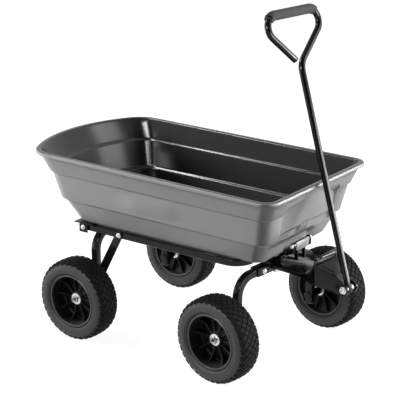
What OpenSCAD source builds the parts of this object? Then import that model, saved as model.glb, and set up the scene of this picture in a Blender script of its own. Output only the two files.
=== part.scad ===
// Tipping dump cart: a poly tub hinged at the rear of a square-tube frame,
// a steered front axle with a pull handle, and four wheels with solid tyres.
// Millimetres. +X is the front, +Y the left side, +Z up, ground at z = 0.

/* [Wheels] */
// Outer diameter of a tyre
wheel_d = 254; // [240:1:270]
// Width of a tyre across its sidewalls
tyre_w = 87; // [76:1:92]
// Rounding of the tyre shoulder
shoulder_r = 26; // [18:1:30]
// Rounding of the tyre beside the bead
bead_round = 9; // [5:1:12]
// Diameter where the tyre sits on the rim
bead_d = 166; // [156:1:174]
// Distance between the centre planes of the wheels of one axle
track = 519; // [505:1:535]
// Distance between the front and rear axles
wheel_base = 539; // [500:1:580]

/* [Rims] */
// Width of the rim where the tyre sits
rim_w = 72; // [64:1:74]
// Thickness of the rim's barrel
barrel_t = 7; // [5:0.5:10]
// Outer diameter of the hub
hub_d = 44; // [40:1:54]
// Hub length inboard of the wheel's centre plane
hub_in = 37; // [30:1:38]
// Hub length outboard of the wheel's centre plane
hub_out = 9; // [6:1:14]
// Number of ribs on each face of the rim
rib_count = 10; // [6:1:14]
// Thickness of a rib
rib_t = 4; // [3:0.5:6]
// Thickness of the web between hub and barrel
web_t = 5; // [4:0.5:8]

/* [Axles] */
// Diameter of a stub axle
spindle_d = 16; // [14:0.5:18]
// Side of the square axle tube
axle_side = 22; // [20:0.5:25]
// Wall of the axle and frame tubes
tube_wall = 2; // [1.5:0.1:3]
// Centre of an axle leg inside the rail's outer face
leg_inset = 20; // [15:0.5:25]
// How far a leg reaches below the stub axle
leg_foot = 24; // [20:1:30]
// Centre line radius of an axle bend
axle_bend = 55; // [45:1:70]
// Height of the front axle's crossbar centre
front_bar_z = 278; // [270:1:280]
// Steer angle of the front axle at rest, in degrees
steer = -5.4; // [-8:0.1:0]

/* [Frame] */
// Side of the square frame tube
rail_side = 20; // [18:0.5:22]
// Outer face of a rail inside the wheel's centre plane
rail_inset = 64.5; // [62:0.5:70]
// Height of the rail centre line
rail_z = 331; // [329:1:340]
// Centre line radius of the front corners
frame_bend = 50; // [40:1:60]
// Hinge axis behind the rear axle
hinge_back = 26.5; // [24:0.5:32]
// Brace bolt ahead of the rear axle
brace_ahead = 110; // [90:1:130]
// Width of a brace
brace_w = 20; // [16:1:24]
// Thickness of a brace
brace_t = 4; // [3:0.5:6]

/* [Tub] */
// Wall thickness of the tub
tub_wall = 4; // [3:0.5:5]
// Depth of the tub
tub_depth = 211; // [190:1:230]
// Edge of the tub base inside the rail's outer face
base_inset = 10; // [5:0.5:15]
// Front edge of the base ahead of the front axle
base_ahead = 64; // [60:1:70]
// Rear edge of the base behind the rear axle
base_back = 99; // [90:1:110]
// Outward rise of each side wall
side_flare = 72; // [64:1:78]
// Outward rise of the front wall
front_flare = 74; // [66:1:75]
// Outward rise of the rear wall
rear_flare = 134; // [120:1:150]
// Overhang of the rolled lip
lip_over = 13; // [10:0.5:13]
// Height of the rolled lip
lip_h = 11; // [8:0.5:16]
// Radius of the bowed rear end as a share of the distance to a rail's outer face
bow_share = 2.2872; // [2.1:0.01:2.5]
// Corner radius at the front of the base
front_corner = 34; // [28:1:40]
// Corner radius at the rear of the base
rear_corner = 45; // [38:1:52]
// Growth of the rear corner radius from the base up to the rim
corner_growth = 36; // [24:1:44]
// Rise of the rim along the length of the base, from front to rear
rim_rise = 8.5; // [0:0.5:12]

/* [Drawbar] */
// Handle pivot ahead of the kingpin
pivot_ahead = 256; // [254:1:270]
// Height of the handle pivot
pivot_z = 268; // [262:1:276]
// Half the width of the drawbar's deck
deck_half = 52; // [48:1:56]
// Crest bar ahead of the kingpin
crest_ahead = 178; // [172:1:184]
// Height of the crest above the deck
crest_rise = 56; // [50:1:60]
// Diameter of the crest bar
crest_d = 12; // [10:0.5:14]
// Sheet thickness of the drawbar
sheet_t = 3; // [2.5:0.5:4]
// Gap between the two ears
ear_gap = 40; // [36:1:46]
// Radius of the ears about the pivot
ear_r = 16; // [14:0.5:18]

/* [Handle] */
// Diameter of the handle tube
handle_d = 19; // [18:0.5:22]
// Lean of the parked handle from upright, in degrees
handle_lean = 16.7; // [14:0.1:17]
// Straight shaft above the pivot
shaft_len = 617; // [560:1:660]
// Diameter of the soft grip
grip_d = 28; // [25:0.5:32]
// Straight length of the loop's top
grip_run = 156; // [130:1:170]
// Bend radius of the loop's two top corners
loop_r = 34; // [30:1:40]

/* [Hidden] */
$fn = 48;
// Clearances: running fit in radius, bolt in its hole in radius, gap between parts that move past
fit = 0.05;
bolt_fit = 0.2;
move_gap = 0.3;
overrun = 1;
lap = 0.4;
swell = 0.03;

// Fasteners
bolt_d = 8;
bolt_head_d = 16;
bolt_head_h = 5.5;
nut_d = 15;
nut_h = 6.5;
low_head_h = 2.4;
bolt_tip = 2;

// Heights
wheel_r = wheel_d / 2;
rail_half = rail_side / 2;
rail_top = rail_z + rail_half;
rail_low = rail_z - rail_half;
axle_half = axle_side / 2;
rear_bar_z = rail_low - axle_half;
front_bar_top = front_bar_z + axle_half;
front_bar_low = front_bar_z - axle_half;

// Lateral places, as distances from the centre plane
wheel_y = track / 2;
rail_face = wheel_y - rail_inset;
leg_y = rail_face - leg_inset;
leg_face = leg_y + axle_half;
rail_y = rail_face - rail_half;
rail_inner = rail_face - rail_side;

// Hinge brackets
bracket_t = 3;
tab_w = 31;
spacer_t = 3;
tab_in = rail_face + spacer_t + move_gap;
tab_out = tab_in + bracket_t;
flange_lap = 35;
flange_in = rail_inner - flange_lap;
flange_half = 36;
bracket_bolt_in = 20;
bracket_bolt_y = rail_inner - bracket_bolt_in;
bracket_bolt_back = 22;
bracket_bolt_pitch = 20;
hinge_d = 10;
hinge_nut_d = 17;
hinge_z = rail_z;
spacer_d = 18;

// Tub
seat_gap = move_gap;
tub_z = rail_top + seat_gap + bracket_t;
rim_z = tub_z + tub_depth;
base_edge = 4;
floor_z = tub_z + tub_wall;
roll_w = 6;
lip_round = 3;
bow_r = bow_share * rail_face;
corner_steps = 8;
bow_steps = 16;
// Heights of the two ledges as shares of the depth, and how far each tier has spread by then
ledge_shares = [0.295, 0.685];
ledge_rise_share = 0.02;
tier_low_shares = [0.36, 0.675];
tier_high_shares = [0.47, 0.755];

// Places along the cart, with the origin midway between its ends
ear_t = 4;
ear_out = ear_gap / 2 + ear_t;
front_reach = (pivot_ahead + ear_r) * cos(steer) + ear_out * sin(abs(steer));
rear_reach = base_back + rear_flare + lip_over;
rear_x = (rear_reach - front_reach - wheel_base) / 2;
front_x = rear_x + wheel_base;
hinge_x = rear_x - hinge_back;
brace_x = rear_x + brace_ahead;
base_front = front_x + base_ahead;
base_rear = rear_x - base_back;
base_len = base_front - base_rear;

// Stub axles: a shoulder outside the leg, then the spindle, washer and nut
shoulder_d = 24;
stub_head_d = 24;
stub_head_h = 5;
sleeve_d = 22;
bush_d = 26;
bush_len = 12;
flange_d = 34;
flange_t = 2.5;
axle_washer_d = 36;
axle_washer_t = 2.5;
axle_nut_d = 22;
axle_nut_h = 9;
spindle_sink = 4;
bush_in_y = wheel_y - hub_in - flange_t;
bush_out_y = wheel_y + hub_out + flange_t;
washer_y = bush_out_y + move_gap;
nut_y = washer_y + axle_washer_t;
sleeve_end_y = bush_in_y - move_gap;
plug_t = 3;
plug_depth = 10;

// Rear cross tube bolts
cross_bolt_y = 80;

// Rest pads
pad_len = 40;
pad_back = 75;

// Turntable and kingpin
kingpin_d = 16;
turn_plate_t = 4;
turn_plate_len = 56;
turn_plate_w = 110;
boss_d = 44;
washer_d = 60;
washer_t = 3;
kingpin_nut_d = 26;
kingpin_nut_h = 11;
kingpin_tip = 3;

// Saddle
saddle_t = 3;
saddle_half = 100;
saddle_bolt_y = 71;
saddle_drop = axle_side;
saddle_face = axle_half + saddle_t;
saddle_top = front_bar_top + saddle_t;

// Drawbar
deck_z = saddle_top;
deck_top = deck_z + sheet_t;
deck_back = 22;
lip_drop = 8;
lip_gap = 2;
lip_start = saddle_face + lip_gap;
crest_z = deck_z + crest_rise;
crest_step = 16;
nose_back = 30;
nose_rise = 36;
neck_back = 34;
nose_end = pivot_ahead - nose_back;
nose_z = pivot_z + nose_rise;
neck_end = pivot_ahead - neck_back;
slot_w = 6;
slot_len = 34;
slot_y = 26;
arc_steps = 12;
pivot_d = 12;
pivot_head_d = 22;
pivot_head_h = 8;
pivot_nut_h = 9;
pivot_sleeve_d = 18;

// Turntable boss fills the height between the thrust washer and the frame
boss_low = deck_top + washer_t + seat_gap;
boss_high = rail_low - turn_plate_t;

// Latch: striker on the frame, bracket and pin under the tub's front, lever on the pin
striker_d = 8;
striker_ahead = 46;
striker_half = 34;
striker_t = 4;
striker_h = 14;
latch_ahead = 81;
latch_rise = 18;
latch_pin_d = 8;
latch_ear_t = 3;
latch_ear_y = 44;
latch_ear_r = 8.5;
latch_plate_ahead = 14;
latch_sleeve_d = 14;
latch_arm_t = 4;
latch_arm_y = 20;
latch_arm_w = 10;
latch_foot = 50;
latch_foot_h = 6;
pull_w = 70;
pull_h = 26;
pull_t = 3;
pull_round = 10;
latch_bolt_y = 14;
latch_bolt_ahead = 32;
latch_x = front_x + latch_ahead;
latch_z = tub_z + latch_rise;
striker_x = front_x + striker_ahead;
striker_z = rail_z;
latch_clear = 0.8;
ear_low = 12;

// Handle loop: angles in degrees, runs in millimetres
handle_wall = 1.5;
handle_tail = 14;
neck_r = 45;
neck_angle = 52;
side_run = 111;
free_run = 100;
right_angle = 142;
left_angle = 137;
right_grip_angle = 40;
left_grip_angle = 48;
grip_gap = 0.1;
// Each step is [bend radius or 0 for a run, turn or length, 1 where it is drawn]
shaft_steps = [[0, handle_tail + shaft_len, 1], [neck_r, -neck_angle, 1], [0, side_run, 1]];
loop_steps = [[loop_r, right_angle, 1], [0, grip_run, 1], [loop_r, left_angle, 1], [0, free_run, 1]];
grip_steps = [[loop_r, right_grip_angle, 1], [0, grip_run, 1], [loop_r, left_grip_angle, 1]];

zinc = "gainsboro";
black = "#202224";
grey = "#8f9194";

// Places and directions

module outward(side) {
    rotate([-90 * side, 0, 0]) children();
}

module both_sides() {
    for (side = [-1, 1]) outward(side) children();
}

module at_rear_axle() {
    translate([rear_x, 0, wheel_r]) children();
}

module steered() {
    translate([front_x, 0, 0]) rotate([0, 0, steer]) children();
}

module at_front_axle() {
    steered() translate([0, 0, wheel_r]) children();
}

module at_hinge() {
    translate([hinge_x, 0, hinge_z]) children();
}

module at_pivot() {
    steered() translate([pivot_ahead, 0, pivot_z]) children();
}

module at_latch() {
    translate([latch_x, 0, latch_z]) children();
}

// Turns a drawing in the XY plane into the XZ plane, with its thickness centred on y = 0
module upright(thick) {
    rotate([90, 0, 0]) translate([0, 0, -thick / 2]) linear_extrude(thick) children();
}

// Turns a flat build in the XY plane to face forwards, with X to the left and Y up
module facing_front() {
    rotate([90, 0, 90]) children();
}

// Shared shapes

module ring(outer, inner, high) {
    difference() {
        cylinder(d = outer, h = high);
        translate([0, 0, -overrun]) cylinder(d = inner, h = high + 2 * overrun);
    }
}

module hex(size, high) {
    cylinder(d = size, h = high, $fn = 6);
}

// Bolt along +Z with its head below z = 0
module bolt(size, head, head_h, length) {
    translate([0, 0, -head_h]) cylinder(d = head, h = head_h);
    cylinder(d = size, h = length);
}

module hex_nut(size, bore, high) {
    difference() {
        hex(size, high);
        translate([0, 0, -overrun]) cylinder(r = bore / 2 + fit, h = high + 2 * overrun);
    }
}

module tube_section(side) {
    difference() {
        square(side, center = true);
        square(side - 2 * tube_wall, center = true);
    }
}

// Square tube along +X from the origin
module tube_run(side, length) {
    rotate([90, 0, 90]) linear_extrude(length) tube_section(side);
}

// Quarter bend about Z, from the X axis towards the Y axis
module tube_bend(side, radius) {
    rotate_extrude(angle = 90) translate([radius, 0]) tube_section(side);
}

// Inverted-U axle tube in its own plane, seen from the front
module arch(bar_z, foot_z) {
    flat = leg_y - axle_bend;
    knee = bar_z - axle_bend;
    facing_front() {
        translate([-flat, bar_z, 0]) tube_run(axle_side, 2 * flat);
        for (side = [0, 1]) mirror([side, 0, 0]) {
            translate([flat, knee, 0]) tube_bend(axle_side, axle_bend);
            translate([leg_y, foot_z, 0]) rotate([0, 0, 90]) tube_run(axle_side, knee - foot_z);
        }
    }
}

// Plugs for the two open leg ends
module leg_plugs(foot_z) {
    inside = axle_side - 2 * tube_wall - 2 * fit;
    for (side = [-1, 1]) translate([0, side * leg_y, foot_z]) {
        translate([-axle_half, -axle_half, -plug_t]) cube([axle_side, axle_side, plug_t]);
        translate([-inside / 2, -inside / 2, 0]) cube([inside, inside, plug_depth]);
    }
}

function unseen(steps) = [for (step = steps) [step[0], step[1], 0]];

// Round bar along the drawn steps, from the origin along +Y.
// Its runs reach into bends that are a hair fatter.
module follow(steps, size, reach, at = 0) {
    if (at < len(steps)) {
        radius = steps[at][0];
        amount = steps[at][1];
        drawn = steps[at][2] == 1;
        if (radius == 0) {
            if (drawn) translate([0, -reach, 0]) rotate([-90, 0, 0])
                cylinder(d = size, h = amount + 2 * reach);
            translate([0, amount, 0]) follow(steps, size, reach, at + 1);
        } else {
            way = amount > 0 ? 1 : -1;
            centre = [-way * radius, 0, 0];
            start = way > 0 ? 0 : 180 + amount;
            if (drawn) translate(centre) rotate([0, 0, start])
                rotate_extrude(angle = abs(amount)) translate([radius, 0]) circle(d = size + 2 * swell);
            translate(centre) rotate([0, 0, amount]) translate(-centre) follow(steps, size, reach, at + 1);
        }
    }
}

// Frame

module frame_tube() {
    rail_front = front_x - frame_bend;
    bar_half = rail_y - frame_bend;
    color(black) difference() {
        union() {
            for (side = [0, 1]) mirror([0, side, 0]) {
                translate([hinge_x, rail_y, rail_z]) tube_run(rail_side, rail_front - hinge_x);
                translate([rail_front, bar_half, rail_z]) tube_bend(rail_side, frame_bend);
                translate([hinge_x, rail_inner, rail_z]) outward(1) cylinder(d = rail_side, h = rail_side);
            }
            translate([front_x, -bar_half, rail_z]) rotate([0, 0, 90]) tube_run(rail_side, 2 * bar_half);
        }
        at_hinge() both_sides() cylinder(r = hinge_d / 2 + fit, h = rail_face + overrun);
        translate([brace_x, 0, rail_z]) both_sides()
            cylinder(r = bolt_d / 2 + bolt_fit, h = rail_face + overrun);
        translate([front_x, 0, 0]) cylinder(r = kingpin_d / 2 + fit, h = rail_top + overrun);
    }
}

module rear_cross_tube() {
    color(black) difference() {
        translate([rear_x, -rail_inner, rail_z]) rotate([0, 0, 90]) tube_run(rail_side, 2 * rail_inner);
        for (side = [-1, 1]) translate([rear_x, side * cross_bolt_y, 0])
            cylinder(r = bolt_d / 2 + bolt_fit, h = rail_top + overrun);
    }
}

module rear_axle_tube() {
    color(black) difference() {
        translate([rear_x, 0, 0]) arch(rear_bar_z, wheel_r - leg_foot);
        at_rear_axle() both_sides() cylinder(r = spindle_d / 2 + fit, h = leg_face + overrun);
        for (side = [-1, 1]) translate([rear_x, side * cross_bolt_y, 0])
            cylinder(r = bolt_d / 2 + bolt_fit, h = rail_top);
    }
}

module rear_leg_plugs() {
    color(black) translate([rear_x, 0, 0]) leg_plugs(wheel_r - leg_foot);
}

// Flat bar from the rail bolt down to an eye on the stub axle
module brace(side) {
    rise = rail_z - wheel_r;
    length = sqrt(brace_ahead * brace_ahead + rise * rise);
    slope = atan2(rise, brace_ahead);
    color(black) translate([rear_x, side * (rail_face + brace_t / 2), wheel_r]) upright(brace_t)
        rotate(slope) difference() {
            union() {
                translate([0, -brace_w / 2]) square([length, brace_w]);
                translate([length, 0]) circle(d = brace_w);
                circle(d = sleeve_d + 2 * brace_t);
            }
            circle(r = spindle_d / 2 + fit);
            translate([length, 0]) circle(r = bolt_d / 2 + bolt_fit);
        }
}

module left_brace() {
    brace(1);
}

module right_brace() {
    brace(-1);
}

module brace_fasteners() {
    shank = brace_t + rail_side + nut_h + bolt_tip;
    color(zinc) translate([brace_x, 0, rail_z]) both_sides() {
        translate([0, 0, rail_face + brace_t]) mirror([0, 0, 1])
            bolt(bolt_d, bolt_head_d, bolt_head_h, shank);
        translate([0, 0, rail_inner - nut_h]) hex_nut(nut_d, bolt_d, nut_h);
    }
}

module cross_fasteners() {
    shank = rail_side + axle_side + nut_h + bolt_tip;
    color(zinc) for (side = [-1, 1]) translate([rear_x, side * cross_bolt_y, 0]) {
        translate([0, 0, rail_top]) mirror([0, 0, 1]) bolt(bolt_d, bolt_head_d, low_head_h, shank);
        translate([0, 0, rear_bar_z - axle_half - nut_h]) hex_nut(nut_d, bolt_d, nut_h);
    }
}

// Stub axles with a shoulder outside the leg that ends at the given distance
module stub_axles(shoulder_end) {
    both_sides() {
        translate([0, 0, leg_y - axle_half - stub_head_h]) cylinder(d = stub_head_d, h = stub_head_h);
        translate([0, 0, leg_y - axle_half]) cylinder(d = spindle_d, h = nut_y + axle_nut_h - spindle_sink
            - leg_y + axle_half);
        translate([0, 0, leg_face]) cylinder(d = shoulder_d, h = shoulder_end - leg_face);
    }
}

module axle_washers() {
    color(zinc) both_sides() translate([0, 0, washer_y])
        ring(axle_washer_d, spindle_d + 2 * fit, axle_washer_t);
}

module axle_nuts() {
    color(zinc) both_sides() translate([0, 0, nut_y]) ring(axle_nut_d, spindle_d + 2 * fit, axle_nut_h);
}

module rear_stub_axles() {
    color(zinc) at_rear_axle() stub_axles(rail_face);
}

module rear_axle_sleeves() {
    sleeve_y = rail_face + brace_t;
    color(zinc) at_rear_axle() both_sides() translate([0, 0, sleeve_y])
        ring(sleeve_d, spindle_d + 2 * fit, sleeve_end_y - sleeve_y);
}

module rear_axle_washers() {
    at_rear_axle() axle_washers();
}

module rear_axle_nuts() {
    at_rear_axle() axle_nuts();
}

module hinge_bolts() {
    head_y = tab_out + move_gap;
    shank = head_y - rail_inner + nut_h + bolt_tip;
    color(zinc) at_hinge() both_sides() translate([0, 0, head_y]) mirror([0, 0, 1])
        bolt(hinge_d, bolt_head_d, bolt_head_h, shank);
}

module hinge_nuts() {
    color(zinc) at_hinge() both_sides() translate([0, 0, rail_inner - nut_h])
        hex_nut(hinge_nut_d, hinge_d, nut_h);
}

module hinge_spacers() {
    color(black) at_hinge() both_sides() translate([0, 0, rail_face])
        ring(spacer_d, hinge_d + 2 * fit, spacer_t);
}

module rest_pads() {
    pad_x = front_x - pad_back - pad_len;
    color(black) for (side = [-1, 1]) translate([pad_x, side * rail_y - rail_half, rail_top])
        cube([pad_len, rail_side, bracket_t]);
}

// Plate under the front tube, with the boss that bears on the thrust washer
module turntable() {
    color(black) translate([front_x, 0, 0]) difference() {
        union() {
            translate([-turn_plate_len / 2, -turn_plate_w / 2, boss_high])
                cube([turn_plate_len, turn_plate_w, turn_plate_t]);
            translate([0, 0, boss_low]) cylinder(d = boss_d, h = boss_high - boss_low);
        }
        translate([0, 0, boss_low - overrun]) cylinder(r = kingpin_d / 2 + fit, h = rail_z);
    }
}

module kingpin() {
    low = front_bar_low - seat_gap - kingpin_nut_h - kingpin_tip;
    color(zinc) translate([front_x, 0, low]) cylinder(d = kingpin_d, h = rail_top - low);
}

module kingpin_nut() {
    color(zinc) translate([front_x, 0, front_bar_low - seat_gap - kingpin_nut_h])
        hex_nut(kingpin_nut_d, kingpin_d, kingpin_nut_h);
}

// Two plates on the front tube that carry a round striker bar
module latch_striker() {
    plate_x = front_x + rail_half;
    color(black) {
        for (side = [-1, 1]) translate([0, side * striker_half, striker_z]) {
            translate([plate_x, -striker_t / 2, -striker_h / 2])
                cube([striker_x - plate_x, striker_t, striker_h]);
            translate([striker_x, -striker_t / 2, 0]) outward(1) cylinder(d = striker_h, h = striker_t);
        }
        translate([striker_x, -striker_half, striker_z]) outward(1)
            cylinder(d = striker_d, h = 2 * striker_half);
    }
}

// Tub

function arc_points(centre, radius, from, to, steps) = [
    for (i = [0 : steps])
        let (turn = from + (to - from) * i / steps)
        [centre[0] + radius * cos(turn), centre[1] + radius * sin(turn)]
];

// Plan outline of the tub, anticlockwise from the front left corner
function tub_outline(half, front, rear, front_r, rear_r) =
    let (
        bow_x = rear + bow_r,
        reach = bow_r - rear_r,
        side = half - rear_r,
        corner_x = bow_x - sqrt(reach * reach - side * side),
        turn = atan2(side, corner_x - bow_x),
        bow = arc_points([bow_x, 0], bow_r, turn, 360 - turn, bow_steps)
    )
    concat(
        arc_points([front - front_r, half - front_r], front_r, 0, 90, corner_steps),
        arc_points([corner_x, side], rear_r, 90, turn, corner_steps),
        [for (i = [1 : bow_steps - 1]) bow[i]],
        arc_points([corner_x, -side], rear_r, 360 - turn, 270, corner_steps),
        arc_points([front - front_r, front_r - half], front_r, 270, 360, corner_steps)
    );

// Ring of the tub at a height, at a share of the wall's flare, moved outwards by grow;
// it rises towards the rear by as much of the rim's rise
function tub_ring(z, spread_share, grow) = [
    for (p = tub_outline(
        rail_face - base_inset + side_flare * spread_share + grow,
        base_front + front_flare * spread_share + grow,
        base_rear - rear_flare * spread_share - grow,
        front_corner + grow,
        rear_corner + corner_growth * spread_share + grow
    ))
    [p[0], p[1], z + rim_rise * spread_share * (base_front - p[0]) / base_len]
];

function ledge_z(i, up) = tub_z + tub_depth * (ledge_shares[i] + up * ledge_rise_share);

// Outer wall upwards, over the lip, and the inner wall down to the floor
function tub_rings() =
    let (wall_top = rim_z - lip_h)
    [
        tub_ring(tub_z, 0, -base_edge),
        tub_ring(tub_z + base_edge, 0, 0),
        tub_ring(ledge_z(0, 0), tier_low_shares[0], 0),
        tub_ring(ledge_z(0, 1), tier_high_shares[0], 0),
        tub_ring(ledge_z(1, 0), tier_low_shares[1], 0),
        tub_ring(ledge_z(1, 1), tier_high_shares[1], 0),
        tub_ring(wall_top, 1, 0),
        tub_ring(wall_top, 1, lip_over),
        tub_ring(rim_z - lip_round, 1, lip_over),
        tub_ring(rim_z, 1, lip_over - lip_round),
        tub_ring(rim_z, 1, -tub_wall),
        tub_ring(rim_z - lip_round, 1, -tub_wall - roll_w / 2),
        tub_ring(wall_top, 1, -tub_wall - roll_w),
        tub_ring(ledge_z(1, 1) + tub_wall / 2, tier_high_shares[1], -tub_wall),
        tub_ring(ledge_z(1, 0) + tub_wall / 2, tier_low_shares[1], -tub_wall),
        tub_ring(ledge_z(0, 1) + tub_wall / 2, tier_high_shares[0], -tub_wall),
        tub_ring(ledge_z(0, 0) + tub_wall / 2, tier_low_shares[0], -tub_wall),
        tub_ring(floor_z + base_edge, 0, -tub_wall),
        tub_ring(floor_z, 0, -tub_wall - base_edge),
    ];

module tub_shell() {
    rings = tub_rings();
    count = len(rings[0]);
    points = [for (r = rings) each r];
    sides = [
        for (k = [0 : len(rings) - 2], i = [0 : count - 1])
            let (
                low = k * count,
                high = low + count,
                next = (i + 1) % count
            )
            each [[low + i, high + i, high + next], [low + i, high + next, low + next]]
    ];
    top = (len(rings) - 1) * count;
    under = [for (i = [0 : count - 1]) i];
    floor_face = [for (i = [count - 1 : -1 : 0]) top + i];
    polyhedron(points, concat(sides, [under], [floor_face]));
}

module bracket_bolt_places() {
    for (side = [-1, 1], i = [0, 1])
        translate([hinge_x - bracket_bolt_back + i * bracket_bolt_pitch, side * bracket_bolt_y, 0])
            children();
}

module latch_bolt_places() {
    for (side = [-1, 1]) translate([front_x + latch_bolt_ahead, side * latch_bolt_y, 0]) children();
}

// Hole through the tub floor with a pocket for a flush bolt head
module floor_hole() {
    translate([0, 0, tub_z - overrun]) cylinder(r = bolt_d / 2 + bolt_fit, h = tub_wall + 2 * overrun);
    translate([0, 0, floor_z - low_head_h])
        cylinder(r = bolt_head_d / 2 + bolt_fit, h = low_head_h + overrun);
}

module tub() {
    color(grey) difference() {
        tub_shell();
        bracket_bolt_places() floor_hole();
        latch_bolt_places() floor_hole();
    }
}

// Angle bracket: a flange under the tub and a tab outside the rail
module hinge_bracket(side) {
    flange_z = rail_top + seat_gap;
    color(black) mirror([0, side < 0 ? 1 : 0, 0]) difference() {
        union() {
            translate([hinge_x - flange_half, flange_in, flange_z])
                cube([2 * flange_half, tab_out - flange_in, bracket_t]);
            translate([hinge_x - tab_w / 2, tab_in, hinge_z - tab_w / 2])
                cube([tab_w, bracket_t, flange_z - hinge_z + tab_w / 2]);
        }
        at_hinge() outward(1) cylinder(r = hinge_d / 2 + fit, h = tab_out + overrun);
        bracket_bolt_places() translate([0, 0, flange_z - overrun])
            cylinder(r = bolt_d / 2 + bolt_fit, h = bracket_t + 2 * overrun);
    }
}

module left_hinge_bracket() {
    hinge_bracket(1);
}

module right_hinge_bracket() {
    hinge_bracket(-1);
}

// Low round heads let into the tub floor, shanks down through the plate below
module floor_bolt() {
    translate([0, 0, floor_z - low_head_h]) mirror([0, 0, 1])
        bolt(bolt_d, bolt_head_d, low_head_h, tub_wall - low_head_h + bracket_t + nut_h + bolt_tip);
}

module floor_nut() {
    translate([0, 0, tub_z - bracket_t - nut_h]) hex_nut(nut_d, bolt_d, nut_h);
}

module bracket_bolts() {
    color(zinc) bracket_bolt_places() floor_bolt();
}

module bracket_nuts() {
    color(zinc) bracket_bolt_places() floor_nut();
}

module latch_bolts() {
    color(zinc) latch_bolt_places() {
        floor_bolt();
        floor_nut();
    }
}

// Side view of a latch ear, about the latch pin: it passes below and in front of the tub's front edge
module latch_ear_outline() {
    back = front_x + latch_bolt_ahead - latch_x;
    under = -latch_rise;
    polygon([
        [back, under],
        [base_front - latch_x + move_gap, under],
        [-latch_ear_r, 0],
        [latch_ear_r, 0],
        [latch_ear_r, under],
        [base_front - latch_x, under - bracket_t - ear_low],
        [back, under - bracket_t],
    ]);
    circle(r = latch_ear_r);
}

module latch_bracket() {
    plate_x = front_x + latch_plate_ahead;
    plate_half = latch_ear_y + latch_ear_t;
    color(black) difference() {
        union() {
            translate([plate_x, -plate_half, tub_z - bracket_t])
                cube([base_front - plate_x, 2 * plate_half, bracket_t]);
            for (side = [-1, 1]) at_latch() translate([0, side * (latch_ear_y + latch_ear_t / 2), 0])
                upright(latch_ear_t) latch_ear_outline();
        }
        at_latch() both_sides() cylinder(r = latch_pin_d / 2 + fit, h = plate_half + overrun);
        latch_bolt_places() translate([0, 0, tub_z - bracket_t - overrun])
            cylinder(r = bolt_d / 2 + bolt_fit, h = bracket_t + 2 * overrun);
    }
}

module latch_pin() {
    head_y = latch_ear_y + latch_ear_t;
    color(zinc) at_latch() outward(-1) translate([0, 0, head_y]) mirror([0, 0, 1])
        bolt(latch_pin_d, bolt_head_d, bolt_head_h, 2 * head_y + nut_h + bolt_tip);
}

module latch_pin_nut() {
    color(zinc) at_latch() outward(1) translate([0, 0, latch_ear_y + latch_ear_t])
        hex_nut(nut_d, latch_pin_d, nut_h);
}

// Lever about the latch pin: a sleeve, a round-cornered pull plate in front and two hook arms
module latch_lever() {
    nose = striker_x - latch_x + striker_d / 2 + latch_clear;
    sleeve = latch_ear_y - move_gap;
    color(black) at_latch() {
        difference() {
            union() {
                translate([0, -sleeve, 0]) outward(1) cylinder(d = latch_sleeve_d, h = 2 * sleeve);
                for (side = [-1, 1]) translate([0, side * latch_arm_y, 0]) upright(latch_arm_t) {
                    translate([-latch_arm_w / 2, -latch_foot]) square([latch_arm_w, latch_foot]);
                    translate([nose, -latch_foot]) square([latch_arm_w / 2 - nose, latch_foot_h]);
                }
                translate([latch_sleeve_d / 2 - pull_t / 2, 0, 0]) facing_front() linear_extrude(pull_t)
                    pull_outline();
            }
            translate([0, -sleeve - overrun, 0]) outward(1)
                cylinder(r = latch_pin_d / 2 + fit, h = 2 * (sleeve + overrun));
        }
    }
}

module pull_outline() {
    low = -pull_h / 2 - pull_round / 2;
    flat = pull_w / 2 - pull_round;
    translate([-pull_w / 2, low + pull_round]) square([pull_w, pull_h - pull_round]);
    translate([-flat, low]) square([2 * flat, pull_round]);
    for (side = [-1, 1]) translate([side * flat, low + pull_round]) circle(r = pull_round);
}

// Steered front end

module front_axle_tube() {
    color(black) difference() {
        steered() arch(front_bar_z, wheel_r - leg_foot);
        at_front_axle() both_sides() cylinder(r = spindle_d / 2 + fit, h = leg_face + overrun);
        steered() cylinder(r = kingpin_d / 2 + fit, h = rail_z);
        saddle_bolt_places() translate([0, 0, -saddle_face])
            cylinder(r = bolt_d / 2 + bolt_fit, h = 2 * saddle_face);
    }
}

module front_leg_plugs() {
    color(black) steered() leg_plugs(wheel_r - leg_foot);
}

// Saddle bolt axes, with +Z forwards
module saddle_bolt_places() {
    steered() for (side = [-1, 1]) translate([0, side * saddle_bolt_y, front_bar_z])
        rotate([0, 90, 0]) children();
}

module steer_saddle() {
    color(black) difference() {
        steered() translate([0, -saddle_half, 0]) difference() {
            translate([-saddle_face, 0, front_bar_top - saddle_drop])
                cube([2 * saddle_face, 2 * saddle_half, saddle_drop + saddle_t]);
            translate([-axle_half, -overrun, front_bar_top - saddle_drop - overrun])
                cube([axle_side, 2 * (saddle_half + overrun), saddle_drop + overrun]);
        }
        steered() cylinder(r = kingpin_d / 2 + fit, h = rail_z);
        saddle_bolt_places() translate([0, 0, -saddle_face - overrun])
            cylinder(r = bolt_d / 2 + bolt_fit, h = 2 * (saddle_face + overrun));
    }
}

module saddle_bolts() {
    color(zinc) saddle_bolt_places() translate([0, 0, saddle_face]) mirror([0, 0, 1])
        bolt(bolt_d, bolt_head_d, bolt_head_h, 2 * saddle_face + nut_h + bolt_tip);
}

module saddle_nuts() {
    color(zinc) saddle_bolt_places() translate([0, 0, -saddle_face - nut_h]) hex_nut(nut_d, bolt_d, nut_h);
}

module thrust_washer() {
    color("ivory") steered() translate([0, 0, deck_top]) ring(washer_d, kingpin_d + 2 * fit, washer_t);
}

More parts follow.
